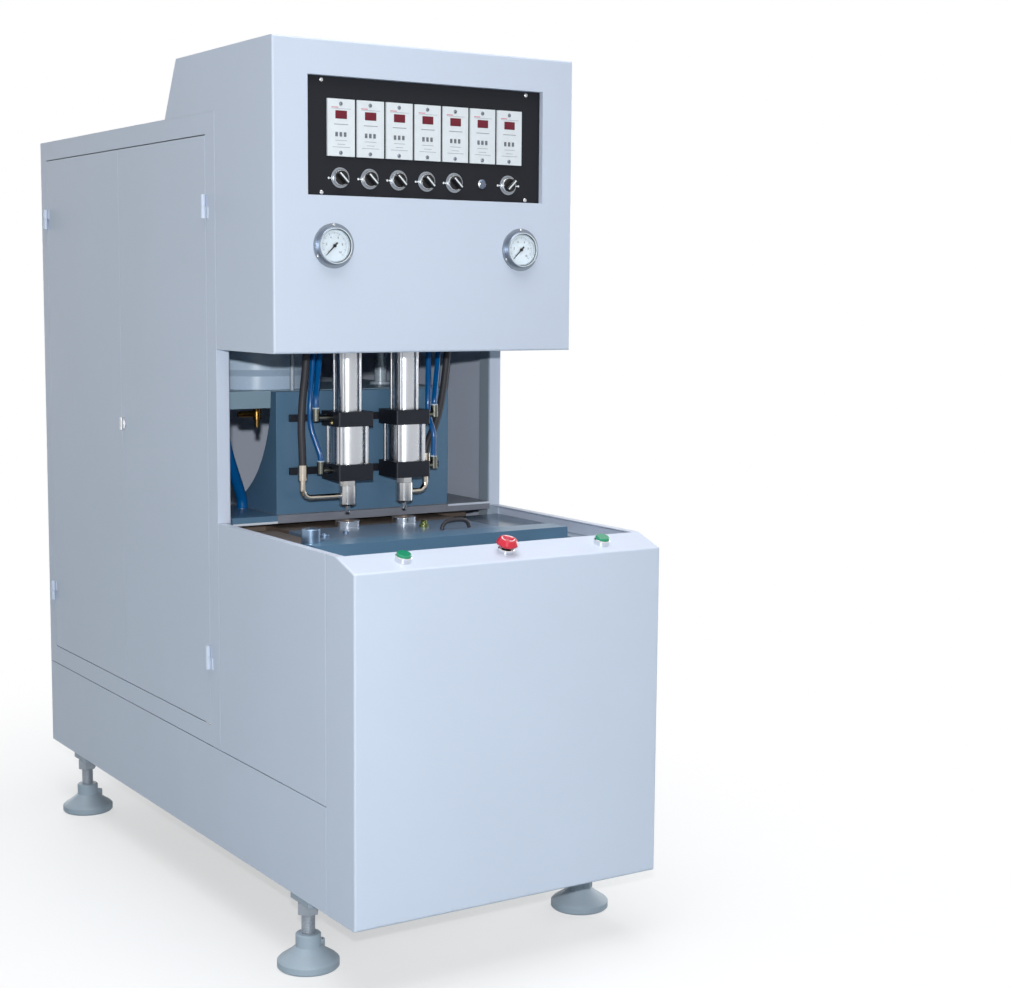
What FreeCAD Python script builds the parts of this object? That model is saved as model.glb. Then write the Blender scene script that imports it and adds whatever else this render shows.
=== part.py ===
import FreeCAD, Part
import math
import os

# Semi-automatic two-cavity stretch blow moulding machine.
# Lengths are in millimetres. X runs to the right, Y runs back from the front face
# while the pieces are drawn, and Z is up from the floor. The last function moves
# everything so that the origin is under the middle of the machine.

Vector = FreeCAD.Vector
X_AXIS = Vector(1, 0, 0)
Y_AXIS = Vector(0, 1, 0)
Z_AXIS = Vector(0, 0, 1)
CENTRE = Vector(0, 0, 0)

# Cabinet
WIDTH = 650.0
DEPTH = 1565.0
SHEET = 2.0
SEAM = 2.0
FLOOR_GAP = 135.0
SKIRT_HEIGHT = 195.0
DESK_HEIGHT = 782.0
DESK_DEPTH = 66.0
DESK_DROP = 22.0
DESK_LIP = 14.0
COVER_RETURN = 105.0
RIM_WIDTH = 16.0
CABINET_SETBACK = 560.0
CABINET_HEIGHT = 1572.0
POST_WIDTH = 26.0
BEND_RADIUS = 4.0

# Head over the loading bay
HEAD_SETBACK = 305.0
HEAD_HEIGHT = 565.0
HEAD_RISE = 113.0
HEAD_OVERLAP = 241.0
HEAD_SLOPE = 61.0
HEAD_FLANGE = 20.0

# Welded frame of square tube
TUBE = 36.0
TUBE_WALL = 3.0
RAIL_DROP = 28.0

# Feet
FOOT_FRONT = 218.0
FOOT_REAR = 184.0
PAD_RADIUS = 57.5
PAD_HEIGHT = 40.0
COLLAR_RADIUS = 23.5
COLLAR_HEIGHT = 24.0
STEM_RADIUS = 12.0
STEM_SEAT = 28.0
FOOT_NUT_WIDTH = 36.0
FOOT_NUT_HEIGHT = 22.0
FOOT_PLATE = 12.0

# Doors, hinges and locks
DOOR_START = 45.0
DOOR_END = 38.0
DOOR_SILL = 45.0
DOOR_DROP = 44.0
DOOR_DEPTH = 12.0
HINGE_RADIUS = 5.0
HINGE_PIN = 3.0
HINGE_LENGTH = 46.0
HINGE_INSET = 112.0
HINGE_LEAF = 14.0
HINGE_WEB = 2.8
LOCK_DROP = 7.5
LOCK_INSET = 14.0
LOCK_RADIUS = 8.9
LOCK_FLANGE = 10.5
LOCK_FLANGE_HEIGHT = 2.5
LOCK_WING = 28.0
LOCK_WING_WIDTH = 7.0
LOCK_WING_HEIGHT = 10.0
LOCK_CAM = 46.0
LOCK_CAM_HEAD = 8.0
LOCK_CAM_WIDTH = 14.0

# Control panel
PANEL_WIDTH = 510.0
PANEL_HEIGHT = 214.0
PANEL_DROP = 171.0
PANEL_RECESS = 12.0
PANEL_LAP = 10.0
CONTROL_PITCH = 61.0
CONTROL_COUNT = 7
TIMER_WIDTH = 56.0
TIMER_HEIGHT = 103.0
TIMER_RISE = 16.0
TIMER_FRONT = 4.0
TIMER_DEPTH = 60.0
TIMER_EDGE = 5.0
WINDOW_WIDTH = 24.0
WINDOW_HEIGHT = 15.0
SELECTOR_DROP = 74.0
LAMP_RADIUS = 6.0
LAMP_HEIGHT = 5.0

# Twenty-two millimetre controls
MOUNT_HOLE = 11.25
BARREL_RADIUS = 11.0
BARREL_BORE = 8.85
BARREL_LENGTH = 30.0
BEZEL_RADIUS = 15.0
BEZEL_HEIGHT = 10.0
BEZEL_FLOOR = 1.0
SELECTOR_BEZEL = 6.0
SELECTOR_GRIP = 9.0
SELECTOR_GRIP_WIDTH = 8.0
STOP_BEZEL = 8.0
CAP_RADIUS = 13.2
CAP_RISE = 5.0
BUTTON_TRAVEL = 3.5
MUSHROOM_RADIUS = 20.0
MUSHROOM_HEIGHT = 13.0
STOP_TRAVEL = 5.0
BUTTON_SPACING = 212.0

# Gauges
GAUGE_SPACING = 204.0
GAUGE_DROP = 369.0
GAUGE_FLANGE = 41.0
GAUGE_FLANGE_HEIGHT = 3.0
GAUGE_RING = 34.5
GAUGE_DIAL = 29.5
GAUGE_BODY = 30.0
GAUGE_BODY_DEPTH = 38.0
GAUGE_STEM = 7.0
GAUGE_STEM_LENGTH = 14.0
GAUGE_DEPTH = 13.0
GAUGE_FLOOR = 4.0
LENS = 2.0
LENS_DROP = 3.0
NEEDLE_PIN = 1.0
NEEDLE_HUB = 3.0
NEEDLE_TAIL = 8.0

# Blowing stations
STATION_HALF = 65.0
STATION_SETBACK = 515.0
CAP_SIZE = 78.0
STATION_RISE = 96.0
LOW_CAP = 32.0
SEAL_BARREL = 75.0
SEAL_BORE = 31.5
SEAL_OUTER = 35.0
MID_CAP = 29.0
STRETCH_BORE = 20.0
STRETCH_OUTER = 23.0
STRETCH_STROKE = 260.0
TOP_CAP = 26.0
TOP_CAP_SIZE = 54.0
SEAL_ROD = 12.5
SEAL_PISTON = 20.0
NOZZLE_RADIUS = 17.5
NOZZLE_LENGTH = 51.0
NOZZLE_GAP = 3.0
NOZZLE_NUT = 30.0
NOZZLE_NUT_HEIGHT = 10.0
PORT_HEIGHT = 20.5
STRETCH_ROD = 5.0
STRETCH_PISTON = 16.0
ROD_SHOWS = 16.0
BLOW_ELBOW_LEFT = Vector(-99, 0, 65.5)
BLOW_ELBOW_RIGHT = Vector(54, 7, 77.5)
SEAL_TIE_SPACING = 56.5
SEAL_TIE = 4.0
STRETCH_TIE_SPACING = 38.0
STRETCH_TIE = 3.0
BAR_LENGTH = 340.0
BAR_HEIGHT = 14.0
BAR_DEPTH = 10.0

# Cylinder bracket
BRACKET_WIDTH = 394.0
BRACKET_HEIGHT = 244.0
BRACKET_PLATE = 20.0
BRACKET_BASE = 16.0
BRACKET_TOE = 11.0
GUSSET_TOP = 4.0
GUSSET_REACH = 165.0

# Clamp
PLATEN_MARGIN = 9.0
PLATEN_DROP = 7.0
PLATEN_CLEARANCE = 2.0
FRONT_PLATEN = 60.0
REAR_PLATEN = 70.0
MOULD_MARGIN = 40.0
MOULD_HEIGHT = 350.0
MOULD_HALF = 105.0
MOULD_DROP = 10.0
SPACER = 113.0
COLLAR_OUTER = 25.0
COLLAR_RISE = 12.0
NECK_RADIUS = 14.0
NECK_LENGTH = 30.0
BOTTLE_RADIUS = 43.0
BOTTLE_HEIGHT = 285.0
SHOULDER = 60.0
PARTING_GAP = 0.3
CLAMP_STROKE = 140.0
TIE_BAR = 18.0
TIE_BAR_INSET = 43.0
TIE_BAR_MARGIN = 60.0
TIE_BAR_NUT = 54.0
TIE_BAR_NUT_LENGTH = 25.0
CROSSHEAD = 50.0
CROSSHEAD_GAP = 28.0
CLAMP_BORE = 100.0
CLAMP_WALL = 7.0
CLAMP_CAP = 30.0
CLAMP_CAP_SIZE = 230.0
CLAMP_PISTON = 40.0
CLAMP_ROD = 30.0
END_CLEARANCE = 1.0
BED_PLATE = 8.0
BED_GAP = 12.0

# Air tank, shelf and air lines
SHELF_DROP = 547.0
SHELF_START = 200.0
SHELF_DEPTH = 280.0
SHELF_LIP = 36.0
BEARER_GAP = 5.0
TANK_RADIUS = 118.0
TANK_X = -82.0
TANK_HEIGHT = 430.0
TANK_FLOOR = 20.0
DRAIN_RADIUS = 5.5
DRAIN_LENGTH = 87.0
DRAIN_COLLAR = 26.0
DRAIN_COLLAR_RISE = 16.0
DRAIN_BODY = 38.0
DRAIN_TIP = 6.0
PIPE_X = 223.0
PIPE_RADIUS = 14.0
PIPE_FLANGE = 24.0
PIPE_FLANGE_HEIGHT = 6.0
RISER_X = -60.0
RISER_INSET = 12.0
RISER_RADIUS = 5.0
RISER_HEIGHT = 380.0
MANIFOLD_RISE = 32.0
MANIFOLD_HEIGHT = 40.0
MANIFOLD_DEPTH = 34.0
LINE_END = 90.0
HOSE_RADIUS = 7.5
ELBOW_RADIUS = 6.0
ELBOW_BEND = 18.0
FERRULE_RADIUS = 9.5
FERRULE_LENGTH = 30.0
TUBE_RADIUS = 5.5
MAIN_LINE_RADIUS = 11.0
MAIN_LINE_BACK = 140.0
MAIN_LINE_BEND = 68.0
FITTING_RADIUS = 7.5
FITTING_STUB = 6.0
FITTING_BODY = 24.0

# Clearances
RUNNING = 0.05
LOOSE = 0.3

# Places that follow from the sizes above
HEIGHT = CABINET_HEIGHT + HEAD_RISE
HALF = WIDTH / 2
INSIDE = HALF - SHEET
INNER = INSIDE - TUBE
SKIRT_TOP = FLOOR_GAP + SKIRT_HEIGHT
DESK_FRONT = DESK_HEIGHT - DESK_DROP
DESK_ANGLE = math.degrees(math.atan2(DESK_DROP, DESK_DEPTH))
REAR = DEPTH - SHEET
BAY_BACK = CABINET_SETBACK + SHEET
TOP_RAIL = CABINET_HEIGHT - SHEET
DESK_RAIL = DESK_HEIGHT - RAIL_DROP
HEAD_BOTTOM = HEIGHT - HEAD_HEIGHT
PANEL_BACK = HEAD_SETBACK + PANEL_RECESS
PANEL_MIDDLE = HEIGHT - PANEL_DROP
PANEL_LOW = PANEL_MIDDLE - PANEL_HEIGHT / 2
GAUGE_HEIGHT = HEIGHT - GAUGE_DROP
STOP_SHAFT_TOP = STOP_BEZEL + STOP_TRAVEL + MUSHROOM_HEIGHT / 3
DOOR_FRONT = CABINET_SETBACK + DOOR_START
DOOR_REAR = REAR - DOOR_END
DOOR_WIDTH = (DOOR_REAR - DOOR_FRONT - SEAM) / 2
DOOR_LOW = SKIRT_TOP + DOOR_SILL
DOOR_TOP = CABINET_HEIGHT - DOOR_DROP
DOOR_INSIDE = HALF - DOOR_DEPTH
HINGE_X = HALF + HINGE_RADIUS
HINGE_HALF = (HINGE_LENGTH - LOOSE) / 2
LOCK_HEIGHT = (DOOR_LOW + DOOR_TOP) / 2 - LOCK_DROP
PLATEN_LOW = SKIRT_TOP
PLATEN_TOP = DESK_HEIGHT - PLATEN_DROP
PLATEN_WIDTH = 2 * (INNER - PLATEN_MARGIN)
TIE_BAR_SPACING = PLATEN_WIDTH - 2 * TIE_BAR_INSET
TIE_BAR_RISE = PLATEN_TOP - PLATEN_LOW - 2 * TIE_BAR_MARGIN
MOULD_WIDTH = TIE_BAR_SPACING - 2 * MOULD_MARGIN
MOULD_TOP = PLATEN_TOP - MOULD_DROP
SEAL_BOTTOM = MOULD_TOP + STATION_RISE
LOW_CAP_TOP = SEAL_BOTTOM + LOW_CAP
MID_CAP_LOW = LOW_CAP_TOP + SEAL_BARREL
MID_CAP_TOP = MID_CAP_LOW + MID_CAP
STRETCH_BARREL = STRETCH_STROKE + STRETCH_PISTON + 4 * END_CLEARANCE
STRETCH_TOP = MID_CAP_TOP + STRETCH_BARREL
NOZZLE_TIP = SEAL_BOTTOM - NOZZLE_GAP - NOZZLE_LENGTH
BAR_FRONT = STATION_SETBACK + CAP_SIZE / 2
BRACKET_FRONT = BAR_FRONT + BAR_DEPTH
BRACKET_LOW = PLATEN_TOP + BRACKET_BASE
BRACKET_BASE_WIDTH = 2 * (INSIDE - POST_WIDTH - END_CLEARANCE)
MOULD_LOW = MOULD_TOP - MOULD_HEIGHT
FRONT_PLATEN_BACK = STATION_SETBACK - MOULD_HALF - SPACER
FRONT_PLATEN_FRONT = FRONT_PLATEN_BACK - FRONT_PLATEN
REAR_PLATEN_FRONT = STATION_SETBACK + MOULD_HALF
REAR_PLATEN_BACK = REAR_PLATEN_FRONT + REAR_PLATEN
CLAMP_HEIGHT = (PLATEN_LOW + PLATEN_TOP) / 2
CLAMP_CAVITY = CLAMP_PISTON + CLAMP_STROKE + 2 * END_CLEARANCE
CLAMP_BACK = REAR_PLATEN_BACK + 2 * CLAMP_CAP + CLAMP_CAVITY
CROSSHEAD_FRONT = CLAMP_BACK + CLAMP_STROKE + CROSSHEAD_GAP
SHELF_TOP = CABINET_HEIGHT - SHELF_DROP
SHELF_FRONT = CABINET_SETBACK + SHELF_START
TANK_SETBACK = SHELF_FRONT + SHELF_DEPTH / 2
BEARER_OUTSIDE = DOOR_INSIDE - BEARER_GAP
BEARER_INSIDE = BEARER_OUTSIDE - TUBE
MANIFOLD_LOW = STRETCH_TOP + TOP_CAP + MANIFOLD_RISE
MAIN_LINE_FOOT = BRACKET_WIDTH / 2 + SEAM + MAIN_LINE_RADIUS
MAIN_LINE_TOP = INSIDE - POST_WIDTH - SEAM - MAIN_LINE_RADIUS


# Plain shapes

def box(x0, x1, y0, y1, z0, z1):
    return Part.makeBox(x1 - x0, y1 - y0, z1 - z0, Vector(x0, y0, z0))


def rod(radius, start, direction, length):
    return Part.makeCylinder(radius, length, start, direction)


def mirrored(shape):
    return shape.mirror(CENTRE, X_AXIS)


def square_tube(x0, x1, y0, y1, z0, z1):
    """Hollow square tube along the longest side of its box."""
    lengths = [x1 - x0, y1 - y0, z1 - z0]
    run = lengths.index(max(lengths))
    walls = [0 if side == run else TUBE_WALL for side in range(3)]
    bore = box(x0 + walls[0], x1 - walls[0], y0 + walls[1], y1 - walls[1], z0 + walls[2], z1 - walls[2])
    return box(x0, x1, y0, y1, z0, z1).cut(bore)


def side_profile(points, x0, x1):
    """Solid with the given outline of (y, z) points, running from x0 to x1."""
    corners = [Vector(x0, y, z) for y, z in points]
    face = Part.Face(Part.makePolygon(corners + corners[:1]))
    return face.extrude(Vector(x1 - x0, 0, 0))


def revolved(points, start, direction):
    """Turned solid: points are (radius, height) pairs, height along the direction."""
    corners = [Vector(r, 0, h) for r, h in points]
    face = Part.Face(Part.makePolygon(corners + corners[:1]))
    solid = face.revolve(CENTRE, Z_AXIS, 360)
    turn = FreeCAD.Rotation(Z_AXIS, direction)
    solid.Placement = FreeCAD.Placement(start, turn)
    return solid


def prism(across_flats, sides, start, direction, height):
    """Prism with a regular outline, such as a nut before its hole is drilled."""
    radius = across_flats / 2 / math.cos(math.pi / sides)
    angles = [2 * math.pi * i / sides for i in range(sides)]
    corners = [Vector(radius * math.cos(a), radius * math.sin(a), 0) for a in angles]
    solid = Part.Face(Part.makePolygon(corners + corners[:1])).extrude(Vector(0, 0, height))
    solid.Placement = FreeCAD.Placement(start, FreeCAD.Rotation(Z_AXIS, direction))
    return solid


def rounded(shape, radius, chosen):
    """Fillet on the straight edges whose ends both satisfy the test."""
    edges = [e for e in shape.Edges if all(chosen(v.Point) for v in e.Vertexes)]
    return shape.makeFillet(radius, edges)


def near(a, b):
    return abs(a - b) < 0.01


def sorted_box(xs, ys, z0, z1):
    """Box between two x values and two y values given in either order."""
    return box(min(xs), max(xs), min(ys), max(ys), z0, z1)


def hose(points, radius):
    """Round hose along straight runs joined by tangent arcs."""
    edges = []
    last = points[0]
    for before, corner, after in zip(points, points[1:], points[2:]):
        arrive = (corner - before).normalize()
        leave = (after - corner).normalize()
        turn = arrive.getAngle(leave)
        step = 0.45 * min((corner - before).Length, (after - corner).Length)
        arc_start = corner - arrive * step
        arc_end = corner + leave * step
        bisector = (leave - arrive).normalize()
        bend = step / math.tan(turn / 2)
        reach = bend / math.cos(turn / 2) - bend
        edges.append(Part.LineSegment(last, arc_start).toShape())
        edges.append(Part.Arc(arc_start, corner + bisector * reach, arc_end).toShape())
        last = arc_end
    edges.append(Part.LineSegment(last, points[-1]).toShape())
    path = Part.Wire(edges)
    ring = Part.Wire(Part.makeCircle(radius, points[0], points[1] - points[0]))
    return path.makePipeShell([ring], True, False)


# Feet and frame

def foot_places():
    x = INSIDE - TUBE / 2
    return [(side * x, y) for side in (-1, 1) for y in (FOOT_FRONT, DEPTH - FOOT_REAR)]


def foot_pads():
    collar_top = PAD_HEIGHT + COLLAR_HEIGHT
    rim = PAD_HEIGHT * 0.35
    crown = PAD_HEIGHT * 0.75
    profile = [(0, 0), (PAD_RADIUS - 3, 0), (PAD_RADIUS, 3), (PAD_RADIUS, rim),
               (PAD_RADIUS * 0.93, rim * 1.3), (PAD_RADIUS * 0.62, crown), (COLLAR_RADIUS, PAD_HEIGHT),
               (COLLAR_RADIUS, collar_top - 2), (COLLAR_RADIUS - 2, collar_top),
               (STEM_RADIUS, collar_top), (STEM_RADIUS, STEM_SEAT), (0, STEM_SEAT)]
    return [revolved(profile, Vector(x, y, 0), Z_AXIS) for x, y in foot_places()]


def foot_screws():
    pieces = []
    nut_top = FLOOR_GAP - FOOT_PLATE
    for x, y in foot_places():
        pieces.append(rod(STEM_RADIUS, Vector(x, y, STEM_SEAT), Z_AXIS, FLOOR_GAP - STEM_SEAT))
        nut = prism(FOOT_NUT_WIDTH, 6, Vector(x, y, nut_top - FOOT_NUT_HEIGHT), Z_AXIS, FOOT_NUT_HEIGHT)
        thread = rod(STEM_RADIUS, Vector(x, y, nut_top - FOOT_NUT_HEIGHT), Z_AXIS, FOOT_NUT_HEIGHT)
        pieces.append(nut.cut(thread))
    return pieces


def base_frame():
    left, right = -INSIDE, INSIDE
    upright_fronts = [SHEET, BAY_BACK, REAR - TUBE]
    platen_cross = (REAR_PLATEN_FRONT + REAR_PLATEN_BACK - TUBE) / 2
    levels = [FLOOR_GAP, SKIRT_TOP - TUBE]
    pieces = []
    for low in levels:
        for y in (SHEET, platen_cross, REAR - TUBE):
            pieces.append(square_tube(-INNER, INNER, y, y + TUBE, low, low + TUBE))
    pieces.append(square_tube(-INNER, INNER, REAR - TUBE, REAR, TOP_RAIL - TUBE, TOP_RAIL))
    pieces.append(square_tube(-INNER, INNER, BAY_BACK, BAY_BACK + TUBE, TOP_RAIL - TUBE, TOP_RAIL))
    for x in (left, right - TUBE):
        for low in levels:
            pieces.append(square_tube(x, x + TUBE, SHEET, REAR, low, low + TUBE))
        for y in upright_fronts:
            pieces.append(square_tube(x, x + TUBE, y, y + TUBE, FLOOR_GAP + TUBE, SKIRT_TOP - TUBE))
        for y in upright_fronts[:2]:
            pieces.append(square_tube(x, x + TUBE, y, y + TUBE, SKIRT_TOP, DESK_RAIL - TUBE))
        pieces.append(square_tube(x, x + TUBE, SHEET, BAY_BACK + TUBE, DESK_RAIL - TUBE, DESK_RAIL))
        pieces.append(square_tube(x, x + TUBE, REAR - TUBE, REAR, SKIRT_TOP, TOP_RAIL - TUBE))
        pieces.append(square_tube(x, x + TUBE, BAY_BACK, REAR, TOP_RAIL - TUBE, TOP_RAIL))
    post = square_tube(INSIDE - POST_WIDTH, INSIDE, BAY_BACK, BAY_BACK + TUBE, DESK_RAIL, TOP_RAIL - TUBE)
    seat = SHELF_TOP - SHEET
    leg_back = SHELF_FRONT + TUBE
    leg = square_tube(BEARER_INSIDE, BEARER_OUTSIDE, SHELF_FRONT, leg_back, SKIRT_TOP, seat)
    bearer = square_tube(BEARER_INSIDE, BEARER_OUTSIDE, leg_back, REAR - TUBE, seat - TUBE, seat)
    for tube in (post, leg, bearer):
        pieces += [tube, mirrored(tube)]
    for x, y in foot_places():
        plate = box(x - TUBE / 2, x + TUBE / 2, y - TUBE, y + TUBE, FLOOR_GAP - FOOT_PLATE, FLOOR_GAP)
        hole = rod(STEM_RADIUS, Vector(x, y, FLOOR_GAP - FOOT_PLATE), Z_AXIS, FOOT_PLATE)
        pieces.append(plate.cut(hole))
    return pieces


# Sheet metal of the base and cabinet

def desk_place(x):
    """Middle of the sloping desk strip at this x, and the strip's normal."""
    angle = math.radians(DESK_ANGLE)
    place = Vector(x, DESK_DEPTH / 2, (DESK_FRONT + DESK_HEIGHT) / 2)
    return place, Vector(0, -math.sin(angle), math.cos(angle))


def front_cover():
    outline = [(0, FLOOR_GAP), (COVER_RETURN, FLOOR_GAP), (COVER_RETURN, DESK_HEIGHT),
               (DESK_DEPTH, DESK_HEIGHT), (0, DESK_FRONT)]
    cover = side_profile(outline, -HALF, HALF)
    cover = rounded(cover, BEND_RADIUS, lambda p: near(p.y, 0) and near(p.z, DESK_FRONT))
    cover = rounded(cover, BEND_RADIUS, lambda p: p.y < BEND_RADIUS + SHEET and near(abs(p.x), HALF)
                    and p.z < DESK_FRONT)
    slope = math.radians(DESK_ANGLE)
    under_front = DESK_FRONT - SHEET / math.cos(slope) + SHEET * math.tan(slope)
    under_back = DESK_HEIGHT - SHEET / math.cos(slope)
    under_desk = DESK_HEIGHT - SHEET
    hollow = [(SHEET, FLOOR_GAP - 1), (COVER_RETURN + 1, FLOOR_GAP - 1), (COVER_RETURN + 1, under_desk),
              (DESK_DEPTH, under_desk), (DESK_DEPTH, under_back), (SHEET, under_front)]
    cover = cover.cut(side_profile(hollow, -INSIDE, INSIDE))
    rim = HALF - RIM_WIDTH
    cover = cover.cut(box(-rim, rim, DESK_DEPTH, COVER_RETURN + 1, DESK_FRONT, DESK_HEIGHT + 1))
    lip = box(-INSIDE, INSIDE, DESK_DEPTH - SHEET, DESK_DEPTH, under_desk - DESK_LIP, under_desk)
    cover = cover.fuse(lip).removeSplitter()
    for x in (-BUTTON_SPACING, 0, BUTTON_SPACING):
        place, normal = desk_place(x)
        cover = cover.cut(rod(MOUNT_HOLE, place - normal * BARREL_LENGTH, normal, 2 * BARREL_LENGTH))
    return cover


def base_side():
    start = COVER_RETURN + SEAM
    end = CABINET_SETBACK - SEAM
    wall = box(INSIDE, HALF, start, end, SKIRT_TOP + SEAM, DESK_HEIGHT)
    rim = box(HALF - RIM_WIDTH, HALF, start, end, DESK_HEIGHT - SHEET, DESK_HEIGHT)
    return wall.fuse(rim).removeSplitter()


def skirt():
    return box(INSIDE, HALF, COVER_RETURN + SEAM, REAR, FLOOR_GAP, SKIRT_TOP)


def hinge_places():
    """Hinge line y and foot z of each hinge on one side, with the way its door reaches."""
    heights = (DOOR_LOW + HINGE_INSET, DOOR_TOP - HINGE_INSET - HINGE_LENGTH)
    front = DOOR_FRONT - SEAM / 2
    rear = DOOR_REAR + SEAM / 2
    return [(y, z, reach) for y, reach in ((front, 1), (rear, -1)) for z in heights]


def hinge_half(y, low, reach):
    """Barrel and leaf of half a hinge, without pin or bore, on the right-hand side."""
    top = low + HINGE_HALF
    barrel = rod(HINGE_RADIUS, Vector(HINGE_X, y, low), Z_AXIS, HINGE_HALF)
    leaf = sorted_box((HALF, HALF + SHEET), (y, y + reach * HINGE_LEAF), low, top)
    web = sorted_box((HALF, HINGE_X - HINGE_PIN - 1), (y, y + reach * HINGE_WEB), low, top)
    return barrel.fuse(leaf).fuse(web).removeSplitter()


def cabinet_side():
    wall = box(INSIDE, HALF, CABINET_SETBACK, REAR, SKIRT_TOP + SEAM, TOP_RAIL)
    opening = box(INSIDE - 1, HALF + 1, DOOR_FRONT - SEAM, DOOR_REAR + SEAM,
                  DOOR_LOW - SEAM, DOOR_TOP + SEAM)
    post = box(HALF - POST_WIDTH, HALF, CABINET_SETBACK, BAY_BACK, DESK_HEIGHT, TOP_RAIL)
    side = wall.cut(opening).fuse(post)
    for y, low, reach in hinge_places():
        side = side.fuse(hinge_half(y, low, -reach))
        side = side.fuse(rod(HINGE_PIN, Vector(HINGE_X, y, low), Z_AXIS, HINGE_LENGTH - SHEET))
    return side.removeSplitter()


def door(rear):
    """Right-hand door: a pan of folded sheet with its hinge halves."""
    start = DOOR_FRONT + (DOOR_WIDTH + SEAM if rear else 0)
    end = start + DOOR_WIDTH
    pan = box(DOOR_INSIDE, HALF, start, end, DOOR_LOW, DOOR_TOP)
    pan = pan.cut(box(DOOR_INSIDE, INSIDE, start + SHEET, end - SHEET, DOOR_LOW + SHEET, DOOR_TOP - SHEET))
    for y, low, reach in hinge_places():
        if (reach < 0) != rear:
            continue
        upper = low + HINGE_LENGTH - HINGE_HALF
        pan = pan.fuse(hinge_half(y, upper, reach))
        pan = pan.cut(rod(HINGE_PIN + RUNNING, Vector(HINGE_X, y, upper), Z_AXIS, HINGE_HALF))
    if not rear:
        place = lock_place()
        pan = pan.cut(rod(LOCK_RADIUS + RUNNING, place - X_AXIS * DOOR_DEPTH, X_AXIS, 2 * DOOR_DEPTH))
    return pan.removeSplitter()


def lock_place():
    return Vector(HALF, DOOR_FRONT + DOOR_WIDTH - LOCK_INSET, LOCK_HEIGHT)


def door_lock():
    """Quarter-turn lock: flange and wing outside, barrel through the door, cam inside."""
    place = lock_place()
    cam_out = DOOR_INSIDE - LOOSE
    barrel_length = HALF - cam_out
    lock = rod(LOCK_RADIUS, place - X_AXIS * barrel_length, X_AXIS, barrel_length)
    lock = lock.fuse(rod(LOCK_FLANGE, place, X_AXIS, LOCK_FLANGE_HEIGHT))
    wing_half = LOCK_WING_WIDTH / 2
    wing_face = HALF + LOCK_WING_HEIGHT
    wing = box(HALF, wing_face, place.y - wing_half, place.y + wing_half,
               place.z - LOCK_WING / 2, place.z + LOCK_WING / 2)
    wing = rounded(wing, wing_half - LOOSE, lambda p: near(p.x, wing_face))
    cam_half = LOCK_CAM_WIDTH / 2
    cam = box(cam_out - SHEET, cam_out, place.y - cam_half, place.y + cam_half,
              place.z - LOCK_CAM, place.z + LOCK_CAM_HEAD)
    return lock.fuse(wing).fuse(cam).removeSplitter()


def cabinet_top():
    return box(-HALF, HALF, CABINET_SETBACK, REAR, TOP_RAIL, CABINET_HEIGHT)


def rear_cover():
    return box(-HALF, HALF, REAR, DEPTH, FLOOR_GAP, CABINET_HEIGHT)


# Head, control panel and gauges

def head_cover():
    front = HEAD_SETBACK
    joint = CABINET_SETBACK - SEAM
    seat = CABINET_HEIGHT
    back = CABINET_SETBACK + HEAD_OVERLAP
    outline = [(front, HEAD_BOTTOM), (joint, HEAD_BOTTOM), (joint, seat), (back, seat),
               (back - HEAD_SLOPE, HEIGHT), (front, HEIGHT)]
    shell = side_profile(outline, -HALF, HALF)
    shell = rounded(shell, BEND_RADIUS, lambda p: near(p.y, front) and near(abs(p.x), HALF))
    slope = math.atan2(HEAD_SLOPE, HEIGHT - seat)
    back_low = back - SHEET / math.cos(slope) - SHEET * math.tan(slope)
    back_high = back - HEAD_SLOPE - SHEET / math.cos(slope) + SHEET * math.tan(slope)
    hollow = [(front + SHEET, HEAD_BOTTOM + SHEET), (joint - SHEET, HEAD_BOTTOM + SHEET),
              (joint - SHEET, seat + SHEET), (back_low, seat + SHEET),
              (back_high, HEIGHT - SHEET), (front + SHEET, HEIGHT - SHEET)]
    shell = shell.cut(side_profile(hollow, -INSIDE, INSIDE))
    inner = HALF - HEAD_FLANGE
    mouth = front + HEAD_FLANGE
    shell = shell.cut(box(-inner, inner, mouth, joint + 1, HEAD_BOTTOM - 1, HEAD_BOTTOM + SHEET))
    shell = shell.cut(box(-inner, inner, joint - SHEET, joint + 1, HEAD_BOTTOM - 1, seat + SHEET))
    shell = shell.cut(box(-inner, inner, joint - SHEET, back_low - HEAD_FLANGE, seat - 1, seat + SHEET))
    high = PANEL_LOW + PANEL_HEIGHT
    half = PANEL_WIDTH / 2
    frame = box(-half - SHEET, half + SHEET, front, PANEL_BACK, PANEL_LOW - SHEET, high + SHEET)
    shell = shell.fuse(frame)
    shell = shell.cut(box(-half, half, front - 1, PANEL_BACK + 1, PANEL_LOW, high))
    for x in (-GAUGE_SPACING, GAUGE_SPACING):
        shell = shell.cut(rod(GAUGE_BODY + LOOSE, Vector(x, front - 1, GAUGE_HEIGHT), Y_AXIS, SHEET + 2))
    return shell.removeSplitter()


def control_places():
    first = -CONTROL_PITCH * (CONTROL_COUNT - 1) / 2
    return [first + CONTROL_PITCH * i for i in range(CONTROL_COUNT)]


def selector_places():
    places = control_places()
    return places[:-2] + places[-1:]


def selector_height():
    return PANEL_MIDDLE - SELECTOR_DROP


def timer_low():
    return PANEL_MIDDLE + TIMER_RISE - TIMER_HEIGHT / 2


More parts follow.
